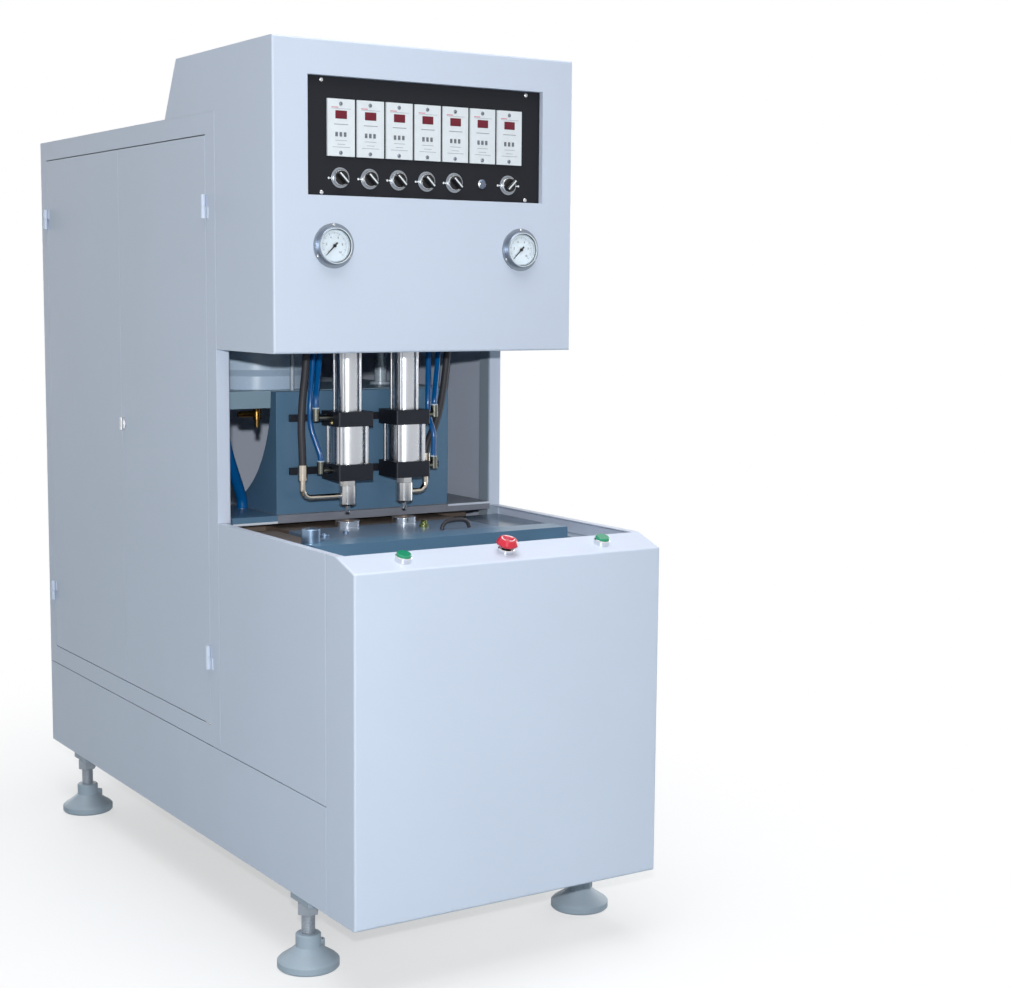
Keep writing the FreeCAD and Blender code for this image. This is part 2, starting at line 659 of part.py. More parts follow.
def control_plate():
    half = PANEL_WIDTH / 2 + PANEL_LAP
    plate = box(-half, half, PANEL_BACK, PANEL_BACK + SHEET,
                PANEL_LOW - PANEL_LAP, PANEL_LOW + PANEL_HEIGHT + PANEL_LAP)
    hole_half = TIMER_WIDTH / 2 - TIMER_EDGE
    for x in control_places():
        plate = plate.cut(box(x - hole_half, x + hole_half, PANEL_BACK - 1, PANEL_BACK + SHEET + 1,
                              timer_low() + TIMER_EDGE, timer_low() + TIMER_HEIGHT - TIMER_EDGE))
    for x in selector_places():
        start = Vector(x, PANEL_BACK - 1, selector_height())
        plate = plate.cut(rod(MOUNT_HOLE, start, Y_AXIS, SHEET + 2))
    lamp = Vector(control_places()[-2], PANEL_BACK - 1, selector_height())
    return plate.cut(rod(LAMP_RADIUS, lamp, Y_AXIS, SHEET + 2))


def timers():
    pieces = []
    inset = TIMER_EDGE + LOOSE
    for x in control_places():
        left, right = x - TIMER_WIDTH / 2, x + TIMER_WIDTH / 2
        low = timer_low()
        high = low + TIMER_HEIGHT
        face = box(left, right, PANEL_BACK - TIMER_FRONT, PANEL_BACK, low, high)
        body = box(left + inset, right - inset, PANEL_BACK, PANEL_BACK + TIMER_DEPTH,
                   low + inset, high - inset)
        window_top = high - TIMER_HEIGHT * 0.2
        window = box(x - WINDOW_WIDTH / 2, x + WINDOW_WIDTH / 2, PANEL_BACK - TIMER_FRONT - 1,
                     PANEL_BACK - TIMER_FRONT + 1, window_top - WINDOW_HEIGHT, window_top)
        timer = face.fuse(body).removeSplitter().cut(window)
        pieces.append(timer)
    return pieces


def control_bezel(height):
    """Outline of a bezel and its barrel: a ring with a floor, standing on a panel at height 0."""
    recess = CAP_RADIUS + RUNNING
    return [(recess, height), (recess, BEZEL_FLOOR), (BARREL_BORE, BEZEL_FLOOR),
            (BARREL_BORE, -BARREL_LENGTH), (BARREL_RADIUS, -BARREL_LENGTH), (BARREL_RADIUS, 0),
            (BEZEL_RADIUS, 0), (BEZEL_RADIUS, height - 1.5), (BEZEL_RADIUS - 1, height)]


def control_bezels():
    pieces = []
    ring = control_bezel(SELECTOR_BEZEL)
    for x in selector_places():
        pieces.append(revolved(ring, Vector(x, PANEL_BACK, selector_height()), -Y_AXIS))
    lamp = Vector(control_places()[-2], PANEL_BACK, selector_height())
    rim = LAMP_RADIUS * 1.5
    holder = [(0, -SHEET), (LAMP_RADIUS, -SHEET), (LAMP_RADIUS, 0), (rim, 0), (rim, LAMP_HEIGHT - SHEET),
              (LAMP_RADIUS, LAMP_HEIGHT), (0, LAMP_HEIGHT)]
    pieces.append(revolved(holder, lamp, -Y_AXIS))
    for x, height in ((-BUTTON_SPACING, BEZEL_HEIGHT), (0, STOP_BEZEL), (BUTTON_SPACING, BEZEL_HEIGHT)):
        place, normal = desk_place(x)
        pieces.append(revolved(control_bezel(height), place, normal))
    return pieces


def selector(x, turned):
    """Knob with a grip bar; turned is the grip's angle from upright, clockwise."""
    centre = Vector(x, PANEL_BACK, selector_height())
    disc_high = SELECTOR_BEZEL + 2
    shaft = BARREL_BORE - RUNNING
    knob = [(0, -BARREL_LENGTH), (shaft, -BARREL_LENGTH), (shaft, BEZEL_FLOOR), (CAP_RADIUS, BEZEL_FLOOR),
            (CAP_RADIUS, disc_high - 1), (CAP_RADIUS - 1, disc_high), (0, disc_high)]
    solid = revolved(knob, centre, -Y_AXIS)
    half = SELECTOR_GRIP_WIDTH / 2
    grip_back = PANEL_BACK - disc_high
    grip_front = grip_back - SELECTOR_GRIP
    grip = box(x - half, x + half, grip_front, grip_back, centre.z - CAP_RADIUS, centre.z + CAP_RADIUS)
    grip = rounded(grip, half - 1, lambda p: near(p.y, grip_front))
    grip.rotate(centre, Y_AXIS, turned)
    return solid.fuse(grip).removeSplitter()


def start_button(x):
    place, normal = desk_place(x)
    foot = BUTTON_TRAVEL - BARREL_LENGTH
    low = BEZEL_FLOOR + BUTTON_TRAVEL + LOOSE
    high = BEZEL_HEIGHT + CAP_RISE
    shaft = BARREL_BORE - RUNNING
    profile = [(0, foot), (shaft, foot), (shaft, low), (CAP_RADIUS, low), (CAP_RADIUS, high - 1.5),
               (CAP_RADIUS - 1.5, high), (0, high)]
    return revolved(profile, place, normal)


def stop_plunger():
    place, normal = desk_place(0)
    low = STOP_TRAVEL - BARREL_LENGTH
    shaft = BARREL_BORE - RUNNING
    return revolved([(0, low), (shaft, low), (shaft, STOP_SHAFT_TOP), (0, STOP_SHAFT_TOP)], place, normal)


def stop_button():
    place, normal = desk_place(0)
    low = STOP_BEZEL + STOP_TRAVEL + END_CLEARANCE
    socket_top = STOP_SHAFT_TOP + LOOSE
    top = low + MUSHROOM_HEIGHT
    profile = [(0, socket_top), (BARREL_BORE, socket_top), (BARREL_BORE, low), (MUSHROOM_RADIUS - 2, low),
               (MUSHROOM_RADIUS, low + 2), (MUSHROOM_RADIUS, low + 5), (MUSHROOM_RADIUS - 4, top - 1),
               (MUSHROOM_RADIUS - 8, top), (MUSHROOM_RADIUS - 11, top - 1), (0, top - 1.5)]
    return revolved(profile, place, normal)


def gauge_centre(side):
    return Vector(side * GAUGE_SPACING, HEAD_SETBACK, GAUGE_HEIGHT)


def gauge_cases():
    hole = NEEDLE_PIN + RUNNING
    ledge = GAUGE_DEPTH - LENS_DROP
    seat = GAUGE_DIAL + 1.5
    stem_end = -GAUGE_BODY_DEPTH - GAUGE_STEM_LENGTH
    profile = [(hole, -SHEET), (hole, GAUGE_FLOOR), (GAUGE_DIAL, GAUGE_FLOOR), (GAUGE_DIAL, ledge),
               (seat, ledge), (seat, GAUGE_DEPTH),
               (GAUGE_RING - 1.5, GAUGE_DEPTH), (GAUGE_RING, GAUGE_DEPTH - 2),
               (GAUGE_RING, GAUGE_FLANGE_HEIGHT), (GAUGE_FLANGE, GAUGE_FLANGE_HEIGHT), (GAUGE_FLANGE, 0),
               (GAUGE_BODY, 0), (GAUGE_BODY, -GAUGE_BODY_DEPTH), (GAUGE_STEM, -GAUGE_BODY_DEPTH),
               (GAUGE_STEM, stem_end), (0, stem_end), (0, -SHEET)]
    return [revolved(profile, gauge_centre(side), -Y_AXIS) for side in (-1, 1)]


def gauge_lenses():
    ledge = GAUGE_DEPTH - LENS_DROP
    return [rod(GAUGE_DIAL + 1.4, gauge_centre(side) - Y_AXIS * ledge, -Y_AXIS, LENS) for side in (-1, 1)]


def gauge_needle(side):
    """Needle at the dial's zero, pointing down to the left."""
    centre = gauge_centre(side)
    low = GAUGE_FLOOR + LOOSE
    high = low + NEEDLE_HUB
    hub = [(0, -1), (NEEDLE_PIN, -1), (NEEDLE_PIN, low), (NEEDLE_HUB, low), (NEEDLE_HUB, high), (0, high)]
    solid = revolved(hub, centre, -Y_AXIS)
    tip = GAUGE_DIAL - 5
    tail_half = 1.6
    tip_half = 0.4
    outline = [(-tail_half, -NEEDLE_TAIL), (tail_half, -NEEDLE_TAIL), (tip_half, tip), (-tip_half, tip)]
    corners = [Vector(centre.x + a, centre.y - low - 1, centre.z + b) for a, b in outline]
    blade = Part.Face(Part.makePolygon(corners + corners[:1])).extrude(-Y_AXIS)
    blade.rotate(centre, Y_AXIS, -135)
    return solid.fuse(blade).removeSplitter()


# Blowing stations

def station(side):
    return Vector(side * STATION_HALF, STATION_SETBACK, 0)


def square_cap(side, low, high, size, bore):
    centre = station(side)
    half = size / 2
    corner = 4.0
    cap = box(centre.x - half, centre.x + half, centre.y - half, centre.y + half, low, high)
    upright = [edge for edge in cap.Edges if near(edge.BoundBox.ZLength, high - low)]
    return cap.makeFillet(corner, upright).cut(rod(bore, centre + Z_AXIS * low, Z_AXIS, high - low))


def cylinder_caps():
    pieces = []
    for side in (-1, 1):
        pieces.append(square_cap(side, SEAL_BOTTOM, LOW_CAP_TOP, CAP_SIZE, SEAL_ROD + RUNNING))
        pieces.append(square_cap(side, MID_CAP_LOW, MID_CAP_TOP, CAP_SIZE, STRETCH_ROD + RUNNING))
        top = square_cap(side, STRETCH_TOP, STRETCH_TOP + TOP_CAP, TOP_CAP_SIZE, STRETCH_ROD)
        pieces.append(top.fuse(rod(STRETCH_ROD, station(side) + Z_AXIS * STRETCH_TOP, Z_AXIS, TOP_CAP)))
    return [piece.removeSplitter() for piece in pieces]


def cylinder_barrels():
    pieces = []
    for side in (-1, 1):
        spans = ((SEAL_OUTER, SEAL_BORE, LOW_CAP_TOP, SEAL_BARREL),
                 (STRETCH_OUTER, STRETCH_BORE, MID_CAP_TOP, STRETCH_BARREL))
        for outer, bore, low, length in spans:
            start = station(side) + Z_AXIS * low
            pieces.append(rod(outer, start, Z_AXIS, length).cut(rod(bore, start, Z_AXIS, length)))
    return pieces


def cylinder_tie_rods():
    pieces = []
    spans = ((SEAL_TIE, SEAL_TIE_SPACING / 2, LOW_CAP_TOP, SEAL_BARREL),
             (STRETCH_TIE, STRETCH_TIE_SPACING / 2, MID_CAP_TOP, STRETCH_BARREL))
    for side in (-1, 1):
        for radius, offset, low, length in spans:
            for dx in (-offset, offset):
                for dy in (-offset, offset):
                    pieces.append(rod(radius, station(side) + Vector(dx, dy, low), Z_AXIS, length))
    return pieces


def nozzle(side):
    """Hollow seal rod with its piston above and the blow nozzle below, and the hose elbow."""
    bore = STRETCH_ROD + RUNNING
    piston_top = MID_CAP_LOW - END_CLEARANCE
    piston_low = piston_top - SEAL_PISTON
    nut_top = SEAL_BOTTOM - NOZZLE_GAP
    nozzle_top = nut_top - NOZZLE_NUT_HEIGHT
    chamfer = 4.0
    profile = [(bore, piston_top), (SEAL_BORE - RUNNING, piston_top), (SEAL_BORE - RUNNING, piston_low),
               (SEAL_ROD, piston_low), (SEAL_ROD, nozzle_top), (NOZZLE_RADIUS, nozzle_top),
               (NOZZLE_RADIUS, NOZZLE_TIP + chamfer), (NOZZLE_RADIUS - chamfer, NOZZLE_TIP),
               (bore, NOZZLE_TIP)]
    nut = prism(NOZZLE_NUT, 6, station(side) + Z_AXIS * nozzle_top, Z_AXIS, NOZZLE_NUT_HEIGHT)
    nut = nut.cut(rod(SEAL_ROD, station(side) + Z_AXIS * nozzle_top, Z_AXIS, NOZZLE_NUT_HEIGHT))
    turned = revolved(profile, station(side), Z_AXIS)
    return [turned.fuse(nut).removeSplitter(), blow_elbow(side)]


def elbow_places(side):
    """Centre of the nozzle's port, the corner of the elbow above it, and the hose seat."""
    reach = BLOW_ELBOW_LEFT if side < 0 else BLOW_ELBOW_RIGHT
    centre = station(side) + Z_AXIS * (NOZZLE_TIP + PORT_HEIGHT)
    corner = centre + Vector(reach.x, reach.y, 0)
    return centre, corner, centre + reach


def blow_elbow(side):
    """Bent blow-air pipe with the ferrule that grips the hose."""
    centre, corner, seat = elbow_places(side)
    out = (corner - centre).normalize()
    arc_start = corner - out * ELBOW_BEND
    arc_end = corner + Z_AXIS * ELBOW_BEND
    middle = corner + (Z_AXIS - out).normalize() * (ELBOW_BEND * (math.sqrt(2) - 1))
    ferrule_low = seat - Z_AXIS * FERRULE_LENGTH
    path = [Part.LineSegment(centre, arc_start).toShape(), Part.Arc(arc_start, middle, arc_end).toShape(),
            Part.LineSegment(arc_end, ferrule_low).toShape()]
    ring = Part.Wire(Part.makeCircle(ELBOW_RADIUS, centre, out))
    solid = Part.Wire(path).makePipeShell([ring], True, False)
    ferrule = rod(FERRULE_RADIUS, ferrule_low, Z_AXIS, FERRULE_LENGTH)
    nozzle_space = rod(NOZZLE_RADIUS, station(side) + Z_AXIS * NOZZLE_TIP, Z_AXIS, NOZZLE_LENGTH)
    return solid.fuse(ferrule).cut(nozzle_space).removeSplitter()


def stretch_rod(side):
    piston_top = STRETCH_TOP - 2 * END_CLEARANCE
    piston_low = piston_top - STRETCH_PISTON
    tip = NOZZLE_TIP - ROD_SHOWS
    profile = [(0, tip), (STRETCH_ROD - 2, tip), (STRETCH_ROD, tip + 3), (STRETCH_ROD, piston_low),
               (STRETCH_BORE - RUNNING, piston_low), (STRETCH_BORE - RUNNING, piston_top), (0, piston_top)]
    return revolved(profile, station(side), Z_AXIS)


def mounting_bars():
    middles = (SEAL_BOTTOM + LOW_CAP / 2, MID_CAP_LOW + MID_CAP / 2)
    half = BAR_LENGTH / 2
    return [box(-half, half, BAR_FRONT, BRACKET_FRONT, z - BAR_HEIGHT / 2, z + BAR_HEIGHT / 2)
            for z in middles]


def cylinder_bracket():
    """Welded bracket: upright plate, two gussets with a hollow back edge, and base plate."""
    top = BRACKET_LOW + BRACKET_HEIGHT
    half = BRACKET_WIDTH / 2
    plate_back = BRACKET_FRONT + BRACKET_PLATE
    back = plate_back + GUSSET_TOP + GUSSET_REACH
    upright = box(-half, half, BRACKET_FRONT, plate_back, BRACKET_LOW, top)
    base = box(-BRACKET_BASE_WIDTH / 2, BRACKET_BASE_WIDTH / 2, BRACKET_FRONT - BRACKET_TOE, back,
               PLATEN_TOP, BRACKET_LOW)
    arc_y = plate_back + GUSSET_TOP
    radius = BRACKET_HEIGHT
    sweep = math.acos(max(-1.0, min(1.0, 1 - GUSSET_REACH / radius)))
    x = half - BRACKET_PLATE

    def on_arc(angle):
        return Vector(x, arc_y + radius * (1 - math.cos(angle)), top - radius * math.sin(angle))

    heel = Vector(x, plate_back, BRACKET_LOW)
    head = Vector(x, plate_back, top)
    toe = Vector(x, on_arc(sweep).y, BRACKET_LOW)
    edges = [Part.LineSegment(heel, head).toShape(), Part.LineSegment(head, on_arc(0)).toShape(),
             Part.Arc(on_arc(0), on_arc(sweep / 2), on_arc(sweep)).toShape(),
             Part.LineSegment(on_arc(sweep), toe).toShape(), Part.LineSegment(toe, heel).toShape()]
    gusset = Part.Face(Part.Wire(edges)).extrude(X_AXIS * BRACKET_PLATE)
    return upright.fuse([base, gusset, mirrored(gusset)]).removeSplitter()


# Clamp and mould

def tie_bar_places():
    half = TIE_BAR_RISE / 2
    x = TIE_BAR_SPACING / 2
    return [(side * x, CLAMP_HEIGHT + rise) for side in (-1, 1) for rise in (-half, half)]


def bored(plate, front, thick):
    for x, z in tie_bar_places():
        plate = plate.cut(rod(TIE_BAR + RUNNING, Vector(x, front, z), Y_AXIS, thick))
    return plate


def front_platen():
    half = PLATEN_WIDTH / 2
    low = PLATEN_LOW + PLATEN_CLEARANCE
    plate = box(-half, half, FRONT_PLATEN_FRONT, FRONT_PLATEN_BACK, low, PLATEN_TOP)
    return bored(plate, FRONT_PLATEN_FRONT, FRONT_PLATEN)


def rear_platen():
    half = PLATEN_WIDTH / 2
    plate = box(-half, half, REAR_PLATEN_FRONT, REAR_PLATEN_BACK, PLATEN_LOW, PLATEN_TOP)
    return bored(plate, REAR_PLATEN_FRONT, REAR_PLATEN)


def crosshead():
    half = PLATEN_WIDTH / 2
    low = CLAMP_HEIGHT - TIE_BAR_RISE / 2 - TIE_BAR_NUT / 2
    high = CLAMP_HEIGHT + TIE_BAR_RISE / 2 + TIE_BAR_NUT / 2
    plate = box(-half, half, CROSSHEAD_FRONT, CROSSHEAD_FRONT + CROSSHEAD, low, high)
    return bored(plate, CROSSHEAD_FRONT, CROSSHEAD)


def tie_bars():
    """Four bars with a nut at each end."""
    pieces = []
    start = FRONT_PLATEN_FRONT - TIE_BAR_NUT_LENGTH
    back = CROSSHEAD_FRONT + CROSSHEAD
    end = back + TIE_BAR_NUT_LENGTH
    for x, z in tie_bar_places():
        pieces.append(rod(TIE_BAR, Vector(x, start, z), Y_AXIS, end - start))
        for y in (start, back):
            nut = prism(TIE_BAR_NUT, 6, Vector(x, y, z), Y_AXIS, TIE_BAR_NUT_LENGTH)
            pieces.append(nut.cut(rod(TIE_BAR, Vector(x, y, z), Y_AXIS, TIE_BAR_NUT_LENGTH)))
    return pieces


def bottle(side):
    """Inside shape of one cavity, with its neck, open at the top of the collar."""
    top = MOULD_TOP + COLLAR_RISE
    neck_low = MOULD_TOP - NECK_LENGTH
    body_top = neck_low - SHOULDER
    low = neck_low - BOTTLE_HEIGHT
    profile = [(0, low), (BOTTLE_RADIUS - 8, low), (BOTTLE_RADIUS, low + 8), (BOTTLE_RADIUS, body_top),
               (BOTTLE_RADIUS * 0.85, body_top + SHOULDER * 0.4), (NECK_RADIUS, neck_low),
               (NECK_RADIUS, top + 1), (0, top + 1)]
    return revolved(profile, station(side), Z_AXIS)


def mould_block(front, back):
    """One mould half between two planes, with half of each neck collar and cavity."""
    half = MOULD_WIDTH / 2
    block = box(-half, half, front, back, MOULD_LOW, MOULD_TOP)
    for side in (-1, 1):
        collar = rod(COLLAR_OUTER, station(side) + Z_AXIS * MOULD_TOP, Z_AXIS, COLLAR_RISE)
        slab = box(-half, half, front, back, MOULD_TOP, MOULD_TOP + COLLAR_RISE)
        block = block.fuse(collar.common(slab))
        block = block.cut(bottle(side))
    return block.removeSplitter()


def mould_front():
    """Front mould half and the spacer that carries it on the front platen."""
    joint = FRONT_PLATEN_BACK + SPACER
    half = MOULD_WIDTH / 2
    spacer = box(-half, half, FRONT_PLATEN_BACK, joint, MOULD_LOW, MOULD_TOP)
    return [spacer, mould_block(joint, STATION_SETBACK - PARTING_GAP)]


def mould_rear():
    return mould_block(STATION_SETBACK, REAR_PLATEN_FRONT)


def clamp_cylinder():
    """Two square end caps and the barrel between them."""
    half = CLAMP_CAP_SIZE / 2
    axis = Vector(0, REAR_PLATEN_BACK, CLAMP_HEIGHT)
    barrel_start = REAR_PLATEN_BACK + CLAMP_CAP
    barrel_end = barrel_start + CLAMP_CAVITY
    front = box(-half, half, REAR_PLATEN_BACK, barrel_start, CLAMP_HEIGHT - half, CLAMP_HEIGHT + half)
    start = axis + Y_AXIS * CLAMP_CAP
    barrel = rod(CLAMP_BORE + CLAMP_WALL, start, Y_AXIS, CLAMP_CAVITY)
    barrel = barrel.cut(rod(CLAMP_BORE, start, Y_AXIS, CLAMP_CAVITY))
    rear = box(-half, half, barrel_end, CLAMP_BACK, CLAMP_HEIGHT - half, CLAMP_HEIGHT + half)
    rear = rear.cut(rod(CLAMP_ROD + RUNNING, Vector(0, barrel_end, CLAMP_HEIGHT), Y_AXIS, CLAMP_CAP))
    return [front, barrel, rear]


def clamp_rod():
    """Piston at the back of its stroke, with the rod that pushes the crosshead."""
    piston_back = REAR_PLATEN_BACK + CLAMP_CAP + CLAMP_CAVITY - END_CLEARANCE
    start = Vector(0, piston_back - CLAMP_PISTON, CLAMP_HEIGHT)
    length = CROSSHEAD_FRONT - start.y
    piston = rod(CLAMP_BORE - RUNNING, start, Y_AXIS, CLAMP_PISTON)
    return piston.fuse(rod(CLAMP_ROD, start, Y_AXIS, length)).removeSplitter()


def bed_cover():
    inner = MOULD_WIDTH / 2 + BED_GAP
    start = FRONT_PLATEN_BACK + BED_GAP * 0.7
    return box(inner, INSIDE - LOOSE, start, CABINET_SETBACK - LOOSE, DESK_RAIL, DESK_RAIL + BED_PLATE)


# Air tank and air lines

def riser_place():
    return Vector(RISER_X, SHELF_FRONT + RISER_INSET, SHELF_TOP)


def tank_shelf():
    half = BEARER_OUTSIDE - LOOSE
    lip_half = BEARER_INSIDE - LOOSE
    back = SHELF_FRONT + SHELF_DEPTH
    low = SHELF_TOP - SHELF_LIP
    shelf = box(-half, half, SHELF_FRONT, back, SHELF_TOP - SHEET, SHELF_TOP)
    for y in (SHELF_FRONT, back - SHEET):
        shelf = shelf.fuse(box(-lip_half, lip_half, y, y + SHEET, low, SHELF_TOP))
    for x, radius in ((TANK_X, DRAIN_RADIUS), (PIPE_X, PIPE_RADIUS)):
        shelf = shelf.cut(rod(radius + LOOSE, Vector(x, TANK_SETBACK, SHELF_TOP - SHEET), Z_AXIS, SHEET))
    return shelf.removeSplitter()


def air_tank():
    """Welded tank with a foot ring and a domed end."""
    dome = TANK_RADIUS * 0.35
    foot = TANK_RADIUS * 0.9
    profile = [(foot - 4, 0), (foot, 0), (foot, TANK_FLOOR + 8), (TANK_RADIUS, TANK_FLOOR + 22),
               (TANK_RADIUS, TANK_HEIGHT - dome), (TANK_RADIUS * 0.86, TANK_HEIGHT - dome * 0.45),
               (TANK_RADIUS * 0.5, TANK_HEIGHT - dome * 0.1), (0, TANK_HEIGHT), (0, TANK_FLOOR),
               (foot - 4, TANK_FLOOR)]
    return revolved(profile, Vector(TANK_X, TANK_SETBACK, SHELF_TOP), Z_AXIS)


def tank_fittings():
    """Drain valve under the tank, the thin riser, and the wide pipe through the shelf."""
    axis = Vector(TANK_X, TANK_SETBACK, SHELF_TOP - DRAIN_LENGTH)
    stem = rod(DRAIN_RADIUS, axis, Z_AXIS, DRAIN_LENGTH + TANK_FLOOR)
    collar_low = axis + Z_AXIS * DRAIN_COLLAR_RISE
    collar = rod(DRAIN_RADIUS + 3, collar_low, Z_AXIS, DRAIN_COLLAR)
    body_end = collar_low + Z_AXIS * (DRAIN_COLLAR / 2) - X_AXIS * DRAIN_BODY
    body = rod(DRAIN_RADIUS + 1.5, body_end, X_AXIS, DRAIN_BODY)
    tip = rod(DRAIN_RADIUS, body_end, -X_AXIS, DRAIN_TIP)
    drain = stem.fuse([collar, body, tip]).removeSplitter()
    riser = rod(RISER_RADIUS, riser_place(), Z_AXIS, RISER_HEIGHT)
    pipe_low = SHELF_TOP - SHELF_LIP
    pipe = rod(PIPE_RADIUS, Vector(PIPE_X, TANK_SETBACK, pipe_low), Z_AXIS, SHELF_LIP + RISER_HEIGHT)
    flange = rod(PIPE_FLANGE, Vector(PIPE_X, TANK_SETBACK, SHELF_TOP), Z_AXIS, PIPE_FLANGE_HEIGHT)
    return [drain, riser, pipe.fuse(flange).removeSplitter()]


def air_manifold():
    half = HALF - HEAD_FLANGE - LOOSE
    return box(-half, half, CABINET_SETBACK - MANIFOLD_DEPTH, CABINET_SETBACK, MANIFOLD_LOW,
               MANIFOLD_LOW + MANIFOLD_HEIGHT)


def line_to_manifold(start, straight, bends, end_x, radius):
    """Line from start up to the manifold; each bend is (across, back, part of the rise)."""
    end = Vector(end_x, CABINET_SETBACK - MANIFOLD_DEPTH / 2, MANIFOLD_LOW)
    rise = end.z - start.z
    corners = [start + Vector(across, back, part * rise) for across, back, part in bends]
    return hose([start, start + Z_AXIS * straight] + corners + [end - Z_AXIS * LINE_END, end], radius)


def blow_hose(side):
    """Black hose from the moving elbow up to the manifold inside the head."""
    bends = [(-4, 0, 0.226), (20, 15, 0.509)] if side < 0 else [(38, 5, 0.186), (64, 18, 0.477)]
    across = 18 if side < 0 else 72
    seat = elbow_places(side)[2]
    return line_to_manifold(seat, 12, bends, seat.x + across, HOSE_RADIUS)


def fitting_places():
    """Where each fitting is screwed into the side of a cap, and the corner of its elbow."""
    low = SEAL_BOTTOM + LOW_CAP * 0.6
    high = MID_CAP_LOW + MID_CAP * 0.6
    places = []
    for side, height, reach, back in ((-1, high, 34, -7), (-1, low, 23, -5),
                                      (1, high, 26, -10), (1, low, 25, -10)):
        face = Vector(side * (STATION_HALF + CAP_SIZE / 2), STATION_SETBACK + back, height)
        places.append((face, face + X_AXIS * side * reach))
    return places


def air_fittings():
    """Elbow fittings on the sides of the caps; their tubes leave upward."""
    pieces = []
    for face, corner in fitting_places():
        stub = rod(FITTING_STUB, face, corner - face, face.distanceToPoint(corner))
        body = rod(FITTING_RADIUS, corner - Z_AXIS * FITTING_STUB, Z_AXIS, FITTING_BODY)
        pieces.append(body.fuse(stub).removeSplitter())
    return pieces


def air_tubes():
    """Tubes from the cap fittings, and the thick main line from the bracket, up to the manifold."""
    runs = [(20, [(26, 33, 0.332)], 29),
            (12, [(-15, 16, 0.160), (-15, 16, 0.256), (1, 31, 0.492)], 1),
            (12, [(31, 36, 0.326)], 34),
            (52, [(-4, 17, 0.188), (-4, 17, 0.256), (8, 36, 0.490)], 9)]
    pieces = []
    for (_, corner), (straight, bends, across) in zip(fitting_places(), runs):
        start = corner + Z_AXIS * (FITTING_BODY - FITTING_STUB)
        pieces.append(line_to_manifold(start, straight, bends, start.x + across, TUBE_RADIUS))
    foot = Vector(-MAIN_LINE_FOOT, CABINET_SETBACK + MAIN_LINE_BACK, BRACKET_LOW)
    across = MAIN_LINE_FOOT - MAIN_LINE_TOP
    bends = [(across, -MAIN_LINE_BEND, 0.292), (across, -MAIN_LINE_BEND, 0.605)]
    pieces.append(line_to_manifold(foot, 20, bends, -MAIN_LINE_TOP, MAIN_LINE_RADIUS))
    return pieces


def nodes():
    side_base = base_side()
    side_skirt = skirt()
    side_cabinet = cabinet_side()
    door_front = door(rear=False)
    door_rear = door(rear=True)
    lock = door_lock()
    bed = bed_cover()
    made = {
        "base_frame": base_frame(),
        "foot_pads": foot_pads(),
        "foot_screws": foot_screws(),
        "front_cover": [front_cover()],
        "base_sides": [side_base, mirrored(side_base)],
        "skirts": [side_skirt, mirrored(side_skirt)],
        "cabinet_side_right": [side_cabinet],
        "cabinet_side_left": [mirrored(side_cabinet)],
        "cabinet_top": [cabinet_top()],
        "rear_cover": [rear_cover()],
        "door_front_right": [door_front],
        "door_front_left": [mirrored(door_front)],
        "door_rear_right": [door_rear],
        "door_rear_left": [mirrored(door_rear)],
        "door_lock_right": [lock],
        "door_lock_left": [mirrored(lock)],
        "head_cover": [head_cover()],
        "control_plate": [control_plate()],
        "timers": timers(),
        "control_bezels": control_bezels(),
        "gauge_cases": gauge_cases(),
        "gauge_lenses": gauge_lenses(),
        "start_button_left": [start_button(-BUTTON_SPACING)],
        "start_button_right": [start_button(BUTTON_SPACING)],
        "stop_plunger": [stop_plunger()],
        "stop_button": [stop_button()],
        "cylinder_bracket": [cylinder_bracket()],
        "mounting_bars": mounting_bars(),
        "cylinder_caps": cylinder_caps(),
        "cylinder_barrels": cylinder_barrels(),
        "cylinder_tie_rods": cylinder_tie_rods(),
        "rear_platen": [rear_platen()],
        "mould_rear": [mould_rear()],
        "front_platen": [front_platen()],
        "mould_front": mould_front(),
        "tie_bars": tie_bars(),
        "crosshead": [crosshead()],
        "clamp_cylinder": clamp_cylinder(),
        "clamp_rod": [clamp_rod()],
        "bed_covers": [bed, mirrored(bed)],
        "tank_shelf": [tank_shelf()],
        "air_tank": [air_tank()],
        "tank_fittings": tank_fittings(),
        "air_manifold": [air_manifold()],
        "air_fittings": air_fittings(),
        "air_tubes": air_tubes(),
    }
    for side, name in ((-1, "left"), (1, "right")):
        made["gauge_needle_" + name] = [gauge_needle(side)]
        made["nozzle_" + name] = nozzle(side)
        made["stretch_rod_" + name] = [stretch_rod(side)]
        made["blow_hose_" + name] = [blow_hose(side)]
    for number, x in enumerate(selector_places(), start=1):
        turned = 45 if number == len(selector_places()) else -45
        made["selector_" + str(number)] = [selector(x, turned)]
    return made


os.makedirs("parts", exist_ok=True)
for name, solids in nodes().items():
    shape = solids[0] if len(solids) == 1 else Part.makeCompound(solids)
    shape.translate(Vector(0, -DEPTH / 2, 0))
    shape.exportStep("parts/" + name + ".step")
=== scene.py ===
import math

import bmesh
import bpy
from mathutils import Matrix, Vector


